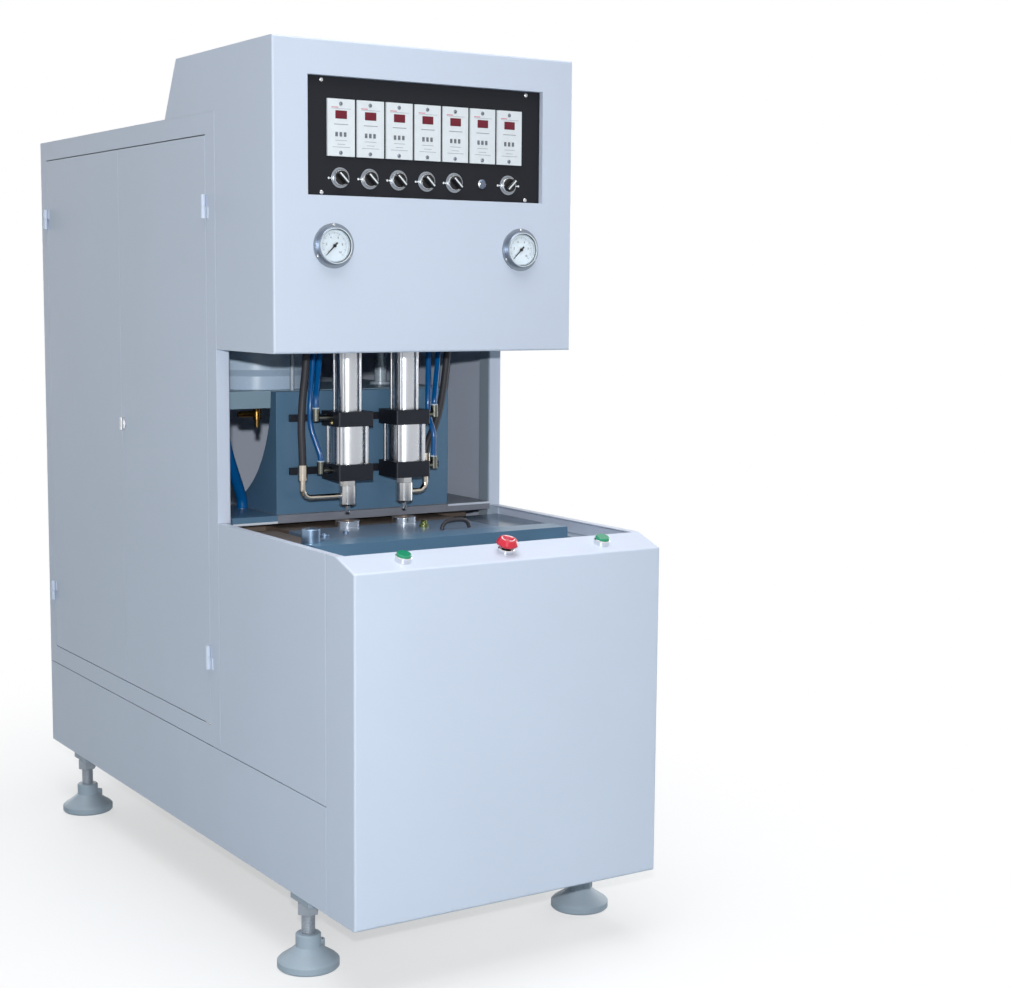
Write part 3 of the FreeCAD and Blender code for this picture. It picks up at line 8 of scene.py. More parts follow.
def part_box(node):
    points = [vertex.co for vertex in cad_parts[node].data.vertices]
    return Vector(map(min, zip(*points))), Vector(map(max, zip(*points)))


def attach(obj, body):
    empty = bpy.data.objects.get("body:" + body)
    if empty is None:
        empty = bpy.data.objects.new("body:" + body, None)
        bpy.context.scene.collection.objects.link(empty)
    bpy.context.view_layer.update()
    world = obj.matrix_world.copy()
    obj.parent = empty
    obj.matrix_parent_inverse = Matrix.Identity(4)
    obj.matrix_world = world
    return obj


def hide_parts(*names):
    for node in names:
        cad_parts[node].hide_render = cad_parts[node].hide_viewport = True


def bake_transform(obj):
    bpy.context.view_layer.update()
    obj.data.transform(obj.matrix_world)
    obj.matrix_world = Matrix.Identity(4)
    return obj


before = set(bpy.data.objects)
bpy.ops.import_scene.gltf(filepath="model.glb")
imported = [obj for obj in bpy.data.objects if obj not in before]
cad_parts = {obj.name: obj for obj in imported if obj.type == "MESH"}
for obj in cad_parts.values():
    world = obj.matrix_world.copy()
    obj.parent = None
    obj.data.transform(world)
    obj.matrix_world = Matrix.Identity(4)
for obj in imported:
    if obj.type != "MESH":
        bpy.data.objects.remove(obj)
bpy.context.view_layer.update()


# Studio. A pale floor that fades to white away from the machine, and four lamps: a
# small one a little above the camera, which draws the shadow under the head, a wide
# one overhead, and two soft ones for the right side and the back.
class Socket:
    """A node's output; arithmetic on it adds Math nodes."""

    def __init__(self, finish, output):
        self.finish = finish
        self.output = output

    def math(self, operation, first, second):
        return self.finish.node("Math", {"operation": operation}, {0: first, 1: second})

    def __add__(self, other):
        return self.math("ADD", self, other)

    def __sub__(self, other):
        return self.math("SUBTRACT", self, other)

    def __rsub__(self, other):
        return self.math("SUBTRACT", other, self)

    def __mul__(self, other):
        return self.math("MULTIPLY", self, other)

    def __gt__(self, other):
        return self.math("GREATER_THAN", self, other)

    def __lt__(self, other):
        return self.math("LESS_THAN", self, other)

    def __abs__(self):
        return self.math("ABSOLUTE", self, 0)

    __radd__ = __add__
    __rmul__ = __mul__


class Finish:
    """A material, or the studio's air, that is put together one node at a time."""

    def __init__(self, name, owners=bpy.data.materials, shader="Principled BSDF"):
        self.material = owners.new(name)
        self.material.use_nodes = True
        self.tree = self.material.node_tree
        self.shader = self.tree.nodes[shader]

    def fill(self, node, inputs):
        for key, value in inputs.items():
            if isinstance(value, Socket):
                self.tree.links.new(value.output, node.inputs[key])
            else:
                node.inputs[key].default_value = value

    def node(self, kind, settings=None, inputs=None, output=0):
        node = self.tree.nodes.new("ShaderNode" + kind)
        for name, value in (settings or {}).items():
            setattr(node, name, value)
        self.fill(node, inputs or {})
        return Socket(self, node.outputs[output])

    def mix(self, mask, first, second):
        return self.node("Mix", {"data_type": "RGBA"}, {0: mask, 6: first, 7: second}, output=2)

    def place(self, stretch=(1, 1, 1)):
        """Point on the machine, in metres, with each axis stretched."""
        point = self.node("TexCoord", output="Object")
        return self.node("VectorMath", {"operation": "MULTIPLY"}, {0: point, 1: stretch})

    def along(self, axis):
        """Distance in metres from the frame's origin along X, Y or Z."""
        return self.node("SeparateXYZ", inputs={0: self.place()}, output="XYZ".index(axis))

    def noise(self, scale, detail=2.0, stretch=(1, 1, 1)):
        inputs = {"Vector": self.place(stretch), "Scale": scale, "Detail": detail}
        return self.node("TexNoise", inputs=inputs)

    def relief(self, height, depth, edge=0.0):
        """Bump of this depth in metres, over edges that look rounded."""
        inputs = {"Height": height, "Strength": 1.0, "Distance": depth}
        if edge:
            inputs["Normal"] = self.node("Bevel", {"samples": 4}, {"Radius": edge})
        return self.node("Bump", inputs=inputs)

    def surface(self, inputs):
        self.fill(self.shader, inputs)
        return self

    def colour(self):
        """The colour that the surface has had so far."""
        return Socket(self, self.shader.inputs["Base Color"].links[0].from_socket)


def shade(red, green, blue):
    """Colour as it looks on a screen, from 0 to 255, turned into light values."""
    parts = []
    for part in (red / 255, green / 255, blue / 255):
        parts.append(part / 12.92 if part <= 0.04045 else ((part + 0.055) / 1.055) ** 2.4)
    return (*parts, 1.0)


def seen_directly(finish):
    """1 for light that goes to the camera, or to it by way of metal or glass."""
    seen = finish.node("LightPath", output="Is Camera Ray")
    seen = seen + finish.node("LightPath", output="Is Glossy Ray")
    seen = seen + finish.node("LightPath", output="Is Transmission Ray")
    return seen > 0.5


FLOOR_REACH = 9.0
FLOOR_TINT = (0.33, 0.42, 0.455, 1)
FADE_STRETCH = (1.6, 1, 1)
FADE_START, FADE_END = 0.8, 2.2
LEAST_WHITE = 0.55
WHITE = (1, 1, 1, 1)
floor_corners = [(x * FLOOR_REACH, y * FLOOR_REACH, 0)
                 for x, y in ((-1, -1), (1, -1), (1, 1), (-1, 1))]
floor_mesh = bpy.data.meshes.new("floor")
floor_mesh.from_pydata(floor_corners, [], [(0, 1, 2, 3)])
floor = bpy.data.objects.new("floor", floor_mesh)
bpy.context.scene.collection.objects.link(floor)
floor_finish = Finish("pale_floor")
floor_seen = seen_directly(floor_finish)
floor_finish.surface({
    "Base Color": floor_finish.mix(floor_seen, FLOOR_TINT, shade(240, 242, 244)),
    "Roughness": 0.7,
})
away = floor_finish.node("VectorMath", {"operation": "LENGTH"},
                         {0: floor_finish.place(FADE_STRETCH)}, output=1)
fade = floor_finish.node("MapRange", {"interpolation_type": "SMOOTHSTEP"},
                         {"Value": away, "From Min": FADE_START, "From Max": FADE_END,
                          "To Min": LEAST_WHITE, "To Max": 1.0})
glow = floor_finish.node("Emission", inputs={"Color": WHITE, "Strength": 1.0})
lit_floor = Socket(floor_finish, floor_finish.shader.outputs[0])
floor_look = floor_finish.node("MixShader", inputs={0: fade * floor_seen, 1: lit_floor, 2: glow})
floor_finish.fill(floor_finish.tree.nodes["Material Output"], {"Surface": floor_look})
floor_mesh.materials.append(floor_finish.material)

AMBIENT = 0.12
SKY_TINT = (0.9, 1.0, 1.03, 1)
air = Finish("studio", bpy.data.worlds, "Background")
air_seen = seen_directly(air)
air.surface({
    "Color": air.mix(air_seen, SKY_TINT, WHITE),
    "Strength": AMBIENT + (1 - AMBIENT) * air_seen,
})
bpy.context.scene.world = air.material


def lamp(name, place, target, size, power):
    light = bpy.data.lights.new(name, "AREA")
    light.size = size
    light.energy = power
    lamp_object = bpy.data.objects.new(name, light)
    lamp_object.location = place
    facing = (Vector(target) - Vector(place)).to_track_quat("-Z", "Y")
    lamp_object.rotation_euler = facing.to_euler()
    bpy.context.scene.collection.objects.link(lamp_object)


lamp("key", place=(-1.76, -3.46, 1.43), target=(0, -0.3, 0.95), size=0.05, power=76)
lamp("overhead", place=(-0.4, -1.2, 5.4), target=(0, -0.3, 0.8), size=4.3, power=218)
lamp("right fill", place=(3.7, 0.5, 1.5), target=(0.3, 0.1, 0.9), size=2.4, power=50)
lamp("rear fill", place=(0.4, 4.3, 1.6), target=(0, 0.8, 0.9), size=2.4, power=54)

EYE = Vector((-1.7277, -3.4101, 1.2418))
YAW, PITCH, ROLL = math.radians(-32.98), math.radians(6.584), math.radians(0.468)
FOCAL_LENGTH = 63.52
FARTHEST = 50
back = Vector((math.sin(YAW) * math.cos(PITCH), -math.cos(YAW) * math.cos(PITCH), math.sin(PITCH)))
level = (-back).cross(Vector((0, 0, 1))).normalized()
upward = level.cross(-back)
right = math.cos(ROLL) * level + math.sin(ROLL) * upward
top = math.cos(ROLL) * upward - math.sin(ROLL) * level
lens = bpy.data.cameras.new("camera")
lens.lens = FOCAL_LENGTH
lens.clip_end = FARTHEST
camera = bpy.data.objects.new("camera", lens)
camera.matrix_world = Matrix.Translation(EYE) @ Matrix((right, top, back)).transposed().to_4x4()
bpy.context.scene.collection.objects.link(camera)
bpy.context.scene.camera = camera
bpy.context.scene.view_settings.view_transform = "Standard"


# Levelling feet. Cast pads painted blue-grey, each with a raised boss for a floor bolt,
# on threaded steel stems that are locked under the frame with a nut.
def dress(finish, *nodes):
    """Gives the finish to CAD pieces."""
    for node in nodes:
        for material_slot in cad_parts[node].material_slots:
            material_slot.material = finish.material


def turn(bm, profile, centre, direction, steps=40):
    """Turned form of (radius, height) points, which stands on its centre."""
    facing = Vector(direction).to_track_quat("Z", "Y")
    rings = []
    for radius, height in profile:
        ring = []
        for i in range(steps if radius else 1):
            angle = 2 * math.pi * i / steps
            point = Vector((radius * math.cos(angle), radius * math.sin(angle), height))
            ring.append(bm.verts.new(Vector(centre) + facing @ point))
        rings.append(ring)
    for low, high in zip(rings, rings[1:]):
        for i in range(steps):
            j = i + 1
            corners = list(dict.fromkeys([
                low[i % len(low)], low[j % len(low)], high[j % len(high)], high[i % len(high)]]))
            if len(corners) > 2:
                bm.faces.new(corners)


def shaped(name, bm, finish, crease=35):
    """Makes the drawn form a visible object."""
    bmesh.ops.recalc_face_normals(bm, faces=bm.faces)
    mesh = bpy.data.meshes.new(name)
    bm.to_mesh(mesh)
    bm.free()
    mesh.shade_smooth()
    mesh.set_sharp_from_angle(angle=math.radians(crease))
    mesh.materials.append(finish.material)
    made = bpy.data.objects.new(name, mesh)
    bpy.context.scene.collection.objects.link(made)
    return made


def piece(name, bm, body, finish):
    """Makes the drawn form a piece that rides on a body."""
    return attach(shaped(name, bm, finish), body)


def toned(colour, factor):
    """The same colour, lighter or darker."""
    return (*[min(1.0, part * factor) for part in colour[:3]], 1.0)


def painted(name, colour, rough=0.42, peel=0.00004, grain=650, edge=0.0012):
    """Paint with a fine orange peel, an uneven gloss and faint clouds of colour."""
    finish = Finish(name)
    clouds = finish.noise(3.5, detail=3)
    return finish.surface({
        "Base Color": finish.mix(clouds, toned(colour, 0.96), toned(colour, 1.03)),
        "Roughness": rough - 0.05 + 0.1 * finish.noise(60),
        "Specular IOR Level": 0.4,
        "Normal": finish.relief(finish.noise(grain), peel, edge),
    })


TOOL_MARK = 0.00002


def metal(name, colour, rough, stretch, streak=0.12, edge=0.0):
    """Metal with fine tool marks that run the way its noise is stretched."""
    finish = Finish(name)
    marks = finish.noise(1.0, detail=3, stretch=stretch)
    dull = finish.noise(25, detail=3)
    return finish.surface({
        "Base Color": finish.mix(marks, toned(colour, 1 - streak), colour),
        "Metallic": 1.0,
        "Roughness": rough + 0.1 * (marks - 0.5) + 0.1 * (dull - 0.5),
        "Normal": finish.relief(marks, TOOL_MARK, edge),
    })


UP = (0, 0, 1)
FOOT_RADIUS = 0.0575
BOSS_PLACE = Vector((0.0324, 0.01548, 0))
BOSS_PROFILE = [(0, 0.020), (0.0085, 0.020), (0.0085, 0.0405), (0.0075, 0.0415),
                (0.0045, 0.0415), (0.0045, 0.036), (0, 0.036)]
THREAD_ROOT, THREAD_CREST = 0.0119, 0.01275
THREAD_PITCH = 0.003
THREAD_TURNS = 12
THREAD_STEPS = 24
pads_low, pads_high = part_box("foot_pads")
foot_places = [Vector((x, y, 0)) for x in (pads_low.x + FOOT_RADIUS, pads_high.x - FOOT_RADIUS)
               for y in (pads_low.y + FOOT_RADIUS, pads_high.y - FOOT_RADIUS)]
cast_paint = painted("cast_foot_paint", shade(162, 177, 190), 0.5, 0.0003, 180, 0.002)
dress(cast_paint, "foot_pads")
stem_steel = metal("stem_steel", shade(160, 168, 178), 0.5, (30, 30, 900), 0.2, 0.0006)
stem_steel.surface({"Metallic": 0.55})
dress(stem_steel, "foot_screws")

bosses, threads = bmesh.new(), bmesh.new()
thread_section = ((THREAD_ROOT, 0), (THREAD_CREST, THREAD_PITCH * 0.45),
                  (THREAD_CREST, THREAD_PITCH * 0.6), (THREAD_ROOT, THREAD_PITCH))
for foot in foot_places:
    turn(bosses, BOSS_PROFILE, foot + BOSS_PLACE, UP, 24)
    spiral = []
    for i in range(THREAD_STEPS * THREAD_TURNS + 1):
        angle = 2 * math.pi * i / THREAD_STEPS
        height = pads_high.z + THREAD_PITCH * i / THREAD_STEPS
        spoke = Vector((math.cos(angle), math.sin(angle), 0))
        spiral.append([threads.verts.new(foot + spoke * radius + Vector((0, 0, height + rise)))
                       for radius, rise in thread_section])
    for first, second in zip(spiral, spiral[1:]):
        for i in range(3):
            threads.faces.new([first[i], second[i], second[i + 1], first[i + 1]])
piece("foot_bosses", bosses, "root", cast_paint)
piece("stem_threads", threads, "root", stem_steel)


# Frame. Square steel tube, welded and painted light grey, with the tank's shelf on two
# bearers across it.
frame_paint = painted("frame_paint", shade(156, 170, 184))
dress(frame_paint, "base_frame")
# The shelf's paint is bluer than the frame's: painted blue shade, for the cool light under the head
# where the shelf sits.
shelf_paint_blue_shade = painted("shelf_paint_blue_shade", shade(152, 180, 198), 0.4)
dress(shelf_paint_blue_shade, "tank_shelf")


# Covers. Folded sheet steel, powder coated pale blue-grey; the base, the skirts, the
# cabinet with its roof and back, and the head over the loading bay.
powder_coat = painted("powder_coat", shade(204, 213, 230))
dress(powder_coat, "front_cover", "base_sides", "skirts", "cabinet_side_left", "cabinet_side_right",
      "cabinet_top", "rear_cover", "head_cover")


# Doors. Folded steel pans with the cabinet's powder coat, hung on welded pin hinges;
# each front door has a plated quarter-turn lock.
dress(powder_coat, "door_front_left", "door_rear_left", "door_front_right", "door_rear_right")
lock_plating = metal("lock_plating", shade(205, 207, 210), 0.2, (200, 200, 200), 0.05, 0.0005)
dress(lock_plating, "door_lock_left", "door_lock_right")


# Control panel. A matt black plate behind the head's window, held by four plated
# pan-head screws.
def plastic(name, colour, rough, grain=900, depth=0.00002, edge=0.0004, clear=0.0):
    """Moulded plastic with a fine grain and a gloss that varies a little."""
    finish = Finish(name)
    bloom = finish.noise(90, detail=3)
    return finish.surface({
        "Base Color": finish.mix(bloom, toned(colour, 0.93), toned(colour, 1.04)),
        "Roughness": rough - 0.04 + 0.08 * bloom,
        "Specular IOR Level": 0.35,
        "Coat Weight": clear,
        "Normal": finish.relief(finish.noise(grain), depth, edge),
    })


TOWARDS_OPERATOR = (0, -1, 0)
SCREW_STEPS = 32
SCREW_RISE = 0.55
SCREW_FLAT = 0.62
RECESS_REACH = 0.5
RECESS_ARM = 0.26
RECESS_FLOOR = 0.3
RECESS_TAPER = 0.8


def cross_recess(angle):
    """Reach of a cross-shaped recess in this direction, as a share of its arms."""
    across = min(abs(math.cos(angle)), abs(math.sin(angle)))
    return min(1.0, RECESS_ARM / max(across, 0.001))


def pan_screw(bm, centre, normal, radius):
    """Pan-head screw with a cross recess, standing on its panel."""
    rise = radius * SCREW_RISE
    centre, normal = Vector(centre), Vector(normal)
    turn(bm, [(0, 0), (radius, 0), (radius, rise * 0.35), (radius * 0.85, rise * 0.8),
              (radius * SCREW_FLAT, rise)], centre, normal, SCREW_STEPS)
    facing = normal.to_track_quat("Z", "Y")
    rim, recess, recess_floor = [], [], []
    for i in range(SCREW_STEPS):
        angle = 2 * math.pi * i / SCREW_STEPS
        spoke = facing @ Vector((math.cos(angle), math.sin(angle), 0))
        reach = radius * RECESS_REACH * cross_recess(angle)
        rim.append(bm.verts.new(centre + normal * rise + spoke * radius * SCREW_FLAT))
        recess.append(bm.verts.new(centre + normal * rise + spoke * reach))
        recess_floor.append(bm.verts.new(centre + normal * rise * RECESS_FLOOR
                                         + spoke * reach * RECESS_TAPER))
    for i in range(SCREW_STEPS):
        j = (i + 1) % SCREW_STEPS
        bm.faces.new([rim[i], rim[j], recess[j], recess[i]])
        bm.faces.new([recess[i], recess[j], recess_floor[j], recess_floor[i]])
    bm.faces.new(recess_floor)
    bmesh.ops.remove_doubles(bm, verts=bm.verts, dist=0.00001)


PANEL_SCREW_X = 0.222
PANEL_SCREW_DROP, PANEL_SCREW_LIFT = 0.017, 0.0155
PANEL_SCREW_RADIUS = 0.0042
plate_low, plate_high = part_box("control_plate")
panel_face = plate_low.y
black_plate = plastic("panel_black", shade(25, 27, 33), 0.62, 500, 0.00003)
black_plate.surface({"Specular IOR Level": 0.22})
dress(black_plate, "control_plate")
screw_plating = metal("screw_plating", shade(210, 211, 212), 0.22, (150, 150, 150), 0.04)
panel_screws = bmesh.new()
for x in (-PANEL_SCREW_X, PANEL_SCREW_X):
    for z in (plate_high.z - PANEL_SCREW_DROP, plate_low.z + PANEL_SCREW_LIFT):
        pan_screw(panel_screws, (x, panel_face, z), TOWARDS_OPERATOR, PANEL_SCREW_RADIUS)
piece("panel_screws", panel_screws, "root", screw_plating)


# Timers. Seven white plug-in timers, each held by a screw at the top and bottom, with
# a dark red window, three small setting wheels and thin printed lines.
def block(bm, low, high, soften=0.0):
    """Box between two corners, with its edges softened; gives its corners back."""
    low, high = Vector(low), Vector(high)
    corners = bmesh.ops.create_cube(bm, size=1)["verts"]
    bmesh.ops.scale(bm, vec=high - low, verts=corners)
    bmesh.ops.translate(bm, vec=(low + high) / 2, verts=corners)
    if soften:
        edges = list({edge for corner in corners for edge in corner.link_edges})
        bmesh.ops.bevel(bm, geom=edges, offset=soften, segments=2, profile=0.5, affect="EDGES")
    return corners


CONTROL_PITCH = 0.061
CONTROL_COUNT = 7
PRINT = 0.00015
TIMER_SCREW_DROP, TIMER_SCREW_LIFT = 0.0085, 0.0065
TIMER_SCREW_RADIUS = 0.0036
TIMER_SHIFT = 0.001
WINDOW_HALF = 0.0118
WINDOW_TOP, WINDOW_LOW = 0.0208, 0.0354
WINDOW_RISE, WINDOW_SUNK = 0.0004, 0.0009
RED_LEFT, RED_RIGHT = -0.020, -0.006
RED_DROP, RED_HEIGHT = 0.0146, 0.0013
# Half width, drop below the timer's top, and height of each grey line.
GREY_LINES = ((0.020, 0.0172, 0.0006), (0.0145, 0.0448, 0.0014), (0.012, 0.0741, 0.0008),
              (0.008, 0.0811, 0.0008), (0.018, 0.0861, 0.0008))
WHEEL_PITCH = 0.0088
WHEEL_HALF = 0.0026
WHEEL_TOP, WHEEL_LOW = 0.0595, 0.0675
WHEEL_RISE = 0.0008
RIB_DROPS = (0.0660, 0.0635, 0.0610)
RIB_HALF_WIDTH, RIB_HALF_HEIGHT = 0.0020, 0.0004
RIB_FRONT, RIB_BACK = 0.0011, 0.0007
timer_low, timer_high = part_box("timers")
timer_face, timer_top = timer_low.y, timer_high.z
timer_white = plastic("timer_white", shade(226, 231, 236), 0.45)
dress(timer_white, "timers")
window_red = plastic("window_red", shade(106, 6, 34), 0.3, clear=0.15)
print_red = plastic("print_red", shade(214, 96, 118), 0.5)
print_grey = plastic("print_grey", shade(150, 156, 166), 0.5)
wheel_grey = plastic("wheel_grey", shade(92, 96, 104), 0.4)
timer_screws, windows, red_lines, grey_lines, wheels = [bmesh.new() for _ in range(5)]


def printed(bm, left, right, drop, height):
    """Printed bar on a timer's face."""
    block(bm, (left, timer_face - PRINT, timer_top - drop - height),
          (right, timer_face, timer_top - drop))


for control in range(CONTROL_COUNT):
    x = CONTROL_PITCH * (control - CONTROL_COUNT // 2)
    for z in (timer_top - TIMER_SCREW_DROP, timer_low.z + TIMER_SCREW_LIFT):
        pan_screw(timer_screws, (x - TIMER_SHIFT, timer_face, z), TOWARDS_OPERATOR,
                  TIMER_SCREW_RADIUS)
    block(windows, (x - WINDOW_HALF, timer_face - WINDOW_RISE, timer_top - WINDOW_LOW),
          (x + WINDOW_HALF, timer_face + WINDOW_SUNK, timer_top - WINDOW_TOP), soften=0.0004)
    printed(red_lines, x + RED_LEFT, x + RED_RIGHT, RED_DROP, RED_HEIGHT)
    for half, drop, height in GREY_LINES:
        printed(grey_lines, x - half, x + half, drop, height)
    for step in (-1, 0, 1):
        wheel_x = x - TIMER_SHIFT + step * WHEEL_PITCH
        block(wheels, (wheel_x - WHEEL_HALF, timer_face - WHEEL_RISE, timer_top - WHEEL_LOW),
              (wheel_x + WHEEL_HALF, timer_face, timer_top - WHEEL_TOP), soften=0.0005)
        for drop in RIB_DROPS:
            rib_z = timer_top - drop
            block(grey_lines,
                  (wheel_x - RIB_HALF_WIDTH, timer_face - RIB_FRONT, rib_z - RIB_HALF_HEIGHT),
                  (wheel_x + RIB_HALF_WIDTH, timer_face - RIB_BACK, rib_z + RIB_HALF_HEIGHT))
dull_plating = metal("dull_plating", shade(128, 134, 144), 0.3, (150, 150, 150), 0.1)
piece("timer_screws", timer_screws, "root", dull_plating)
piece("timer_windows", windows, "root", window_red)
piece("timer_red_lines", red_lines, "root", print_red)
piece("timer_grey_lines", grey_lines, "root", print_grey)
piece("timer_wheels", wheels, "root", wheel_grey)


# Selectors. Black knobs with a white bar let into the grip, in plated bezels with a
# silver ring; white dots and dashes on the plate show the positions. The indicator
# lamp beside them is one piece with the bezels, so its lens is a patch of colour.
LAMP_X = 0.122
LAMP_RADIUS = 0.006
PANEL_LOW = 1.3
RING_RADIUS = 0.0186
RING_BORE = 0.0150
RING_RISE = 0.0006
RING_PROFILE = [(RING_BORE, 0), (RING_RADIUS, 0), (RING_RADIUS, RING_RISE * 0.6),
                (RING_RADIUS - 0.0004, RING_RISE), (RING_BORE, RING_RISE), (RING_BORE, 0)]
BAR_HALF = 0.0014
BAR_REACH = 0.0118
BAR_RISE, BAR_SUNK = 0.0004, 0.0006
DOT_RADIUS = 0.0021
DOT_REACH = 0.0238
DOT_PROFILE = [(0, 0), (DOT_RADIUS, 0), (DOT_RADIUS, PRINT), (0, PRINT)]
DASH_REACH = (0.0154, 0.0212)
MARK_DROP = 0.001
DASH_LOW, DASH_HIGH = 0.0021, 0.0001
LAST_SELECTOR = 6
bezel_chrome = metal("control_plating", shade(222, 224, 227), 0.14, (120, 120, 120), 0.03, 0.0004)
lens_mask = ((abs(bezel_chrome.along("X") - LAMP_X) < LAMP_RADIUS)
             * (bezel_chrome.along("Z") > PANEL_LOW))
bezel_chrome.surface({
    "Base Color": bezel_chrome.mix(lens_mask, bezel_chrome.colour(), shade(98, 112, 130)),
    "Metallic": 1 - 0.7 * lens_mask,
})
dress(bezel_chrome, "control_bezels")
ring_silver = metal("ring_silver", shade(150, 157, 166), 0.3, (40, 600, 40), 0.14)
knob_black = plastic("knob_black", shade(22, 22, 25), 0.28, edge=0.0008)
mark_white = plastic("mark_white", shade(232, 236, 240), 0.4)
rings, selector_marks = bmesh.new(), bmesh.new()
for number in range(1, LAST_SELECTOR + 1):
    name = f"selector_{number}"
    dress(knob_black, name)
    low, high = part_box(name)
    centre = (low + high) / 2
    turned, marked_sides = (45, (-1, 1)) if number == LAST_SELECTOR else (-45, (-1,))
    bar = bmesh.new()
    block(bar, (-BAR_HALF, low.y - BAR_RISE, -BAR_REACH),
          (BAR_HALF, low.y + BAR_SUNK, BAR_REACH), soften=0.0003)
    lean = Matrix.Rotation(math.radians(turned), 3, "Y")
    bmesh.ops.rotate(bar, cent=(0, 0, 0), matrix=lean, verts=bar.verts)
    bmesh.ops.translate(bar, vec=(centre.x, 0, centre.z), verts=bar.verts)
    piece(name + "_bar", bar, name, mark_white)
    turn(rings, RING_PROFILE, (centre.x, panel_face, centre.z), TOWARDS_OPERATOR, 56)
    for side in marked_sides:
        dot = (centre.x + side * DOT_REACH, panel_face, centre.z - MARK_DROP)
        turn(selector_marks, DOT_PROFILE, dot, TOWARDS_OPERATOR, 20)
        dash_left, dash_right = sorted(centre.x + side * reach for reach in DASH_REACH)
        block(selector_marks,
              (dash_left, panel_face - RING_RISE - PRINT, centre.z - DASH_LOW),
              (dash_right, panel_face, centre.z - DASH_HIGH))
piece("selector_rings", rings, "root", ring_silver)
piece("selector_marks", selector_marks, "root", mark_white)


# Pressure gauges. Plated cases with a three-screw flange, a white dial with ticks and
# plain numbers, a black needle and a clear window.
GAUGE_X = 0.204
GAUGE_FACE = -0.4775
FLANGE_SCREW_REACH = 0.0378
FLANGE_SCREW_RADIUS = 0.0027
FLANGE_RISE = 0.003
DIAL_SIGHT = 0.0325
DIAL_RADIUS = 0.0290
DIAL_BORE = 0.0012
DIAL_DEPTH = 0.004
DIAL_THICKNESS = 0.0003
DIAL_PROFILE = [(DIAL_BORE, 0), (DIAL_RADIUS, 0), (DIAL_RADIUS, DIAL_THICKNESS),
                (DIAL_BORE, DIAL_THICKNESS), (DIAL_BORE, 0)]
DIAL_START = math.radians(225)
SWEEP = math.radians(270)
TICK_COUNT = 50
LONG_TICK_EVERY = 5
# Inner end and half thickness of the ticks; all of them end at one radius.
LONG_TICK, SHORT_TICK = (0.0208, 0.00025), (0.0225, 0.00012)
TICK_END = 0.0255
FIGURE_COUNT = 5
FIGURE_REACH = 0.0165
FIGURE_SIZE = 0.0062
gauge_low, gauge_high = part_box("gauge_cases")
gauge_z = (gauge_low.z + gauge_high.z) / 2
gauge_plating = metal("gauge_plating", shade(138, 148, 162), 0.3, (300, 300, 300), 0.06, 0.0006)
sideways = abs(gauge_plating.along("X")) - GAUGE_X
rising = gauge_plating.along("Z") - gauge_z
inside = sideways * sideways + rising * rising < DIAL_SIGHT ** 2
gauge_plating.surface({
    "Base Color": gauge_plating.mix(inside, gauge_plating.colour(), shade(222, 232, 240)),
    "Metallic": 0.75 - 0.75 * inside,
})
dress(gauge_plating, "gauge_cases")
needle_black = plastic("needle_black", shade(28, 30, 36), 0.4)
dress(needle_black, "gauge_needle_left", "gauge_needle_right")
window_clear = Finish("window_clear")
window_clear.surface({
    "Base Color": WHITE,
    "Transmission Weight": 1.0,
    "IOR": 1.1,
    "Roughness": 0.01 + 0.02 * window_clear.noise(120),
})
dress(window_clear, "gauge_lenses")
dial_white = plastic("dial_white", shade(222, 236, 246), 0.5)
dial_ink = plastic("dial_ink", shade(58, 62, 72), 0.5)
gauge_screws, dials, ticks = bmesh.new(), bmesh.new(), bmesh.new()
for side in (-1, 1):
    place = Vector((side * GAUGE_X, GAUGE_FACE, gauge_z))
    for degrees in (90, 210, 330):
        spoke = Vector((math.cos(math.radians(degrees)), 0, math.sin(math.radians(degrees))))
        pan_screw(gauge_screws, place + spoke * FLANGE_SCREW_REACH - Vector((0, FLANGE_RISE, 0)),
                  TOWARDS_OPERATOR, FLANGE_SCREW_RADIUS)
    turn(dials, DIAL_PROFILE, (place.x, place.y - DIAL_DEPTH, place.z), TOWARDS_OPERATOR, 64)
    dial_face = place.y - DIAL_DEPTH - DIAL_THICKNESS
    for i in range(TICK_COUNT + 1):
        angle = DIAL_START - SWEEP * i / TICK_COUNT
        inner, half = SHORT_TICK if i % LONG_TICK_EVERY else LONG_TICK
        tick = block(ticks, (inner, dial_face - PRINT / 2, -half), (TICK_END, dial_face, half))
        lean = Matrix.Rotation(-angle, 3, "Y")
        bmesh.ops.rotate(ticks, cent=(0, 0, 0), matrix=lean, verts=tick)
        bmesh.ops.translate(ticks, vec=(place.x, 0, place.z), verts=tick)
    for i in range(FIGURE_COUNT + 1):
        angle = DIAL_START - SWEEP * i / FIGURE_COUNT
        words = bpy.data.curves.new("number", "FONT")
        words.body = str(2 * i)
        words.size = FIGURE_SIZE
        words.extrude = PRINT / 2
        words.align_x = "CENTER"
        words.align_y = "CENTER"
        number_object = bpy.data.objects.new("number", words)
        figure = bpy.data.meshes.new_from_object(number_object)
        spot = Vector((place.x + FIGURE_REACH * math.cos(angle), dial_face,
                       place.z + FIGURE_REACH * math.sin(angle)))
        figure.transform(Matrix.Translation(spot) @ Matrix.Rotation(math.radians(90), 4, "X"))
        ticks.from_mesh(figure)
        bpy.data.objects.remove(number_object)
        bpy.data.meshes.remove(figure)
piece("gauge_screws", gauge_screws, "root", screw_plating)
piece("gauge_dials", dials, "root", dial_white)
piece("gauge_ticks", ticks, "root", dial_ink)


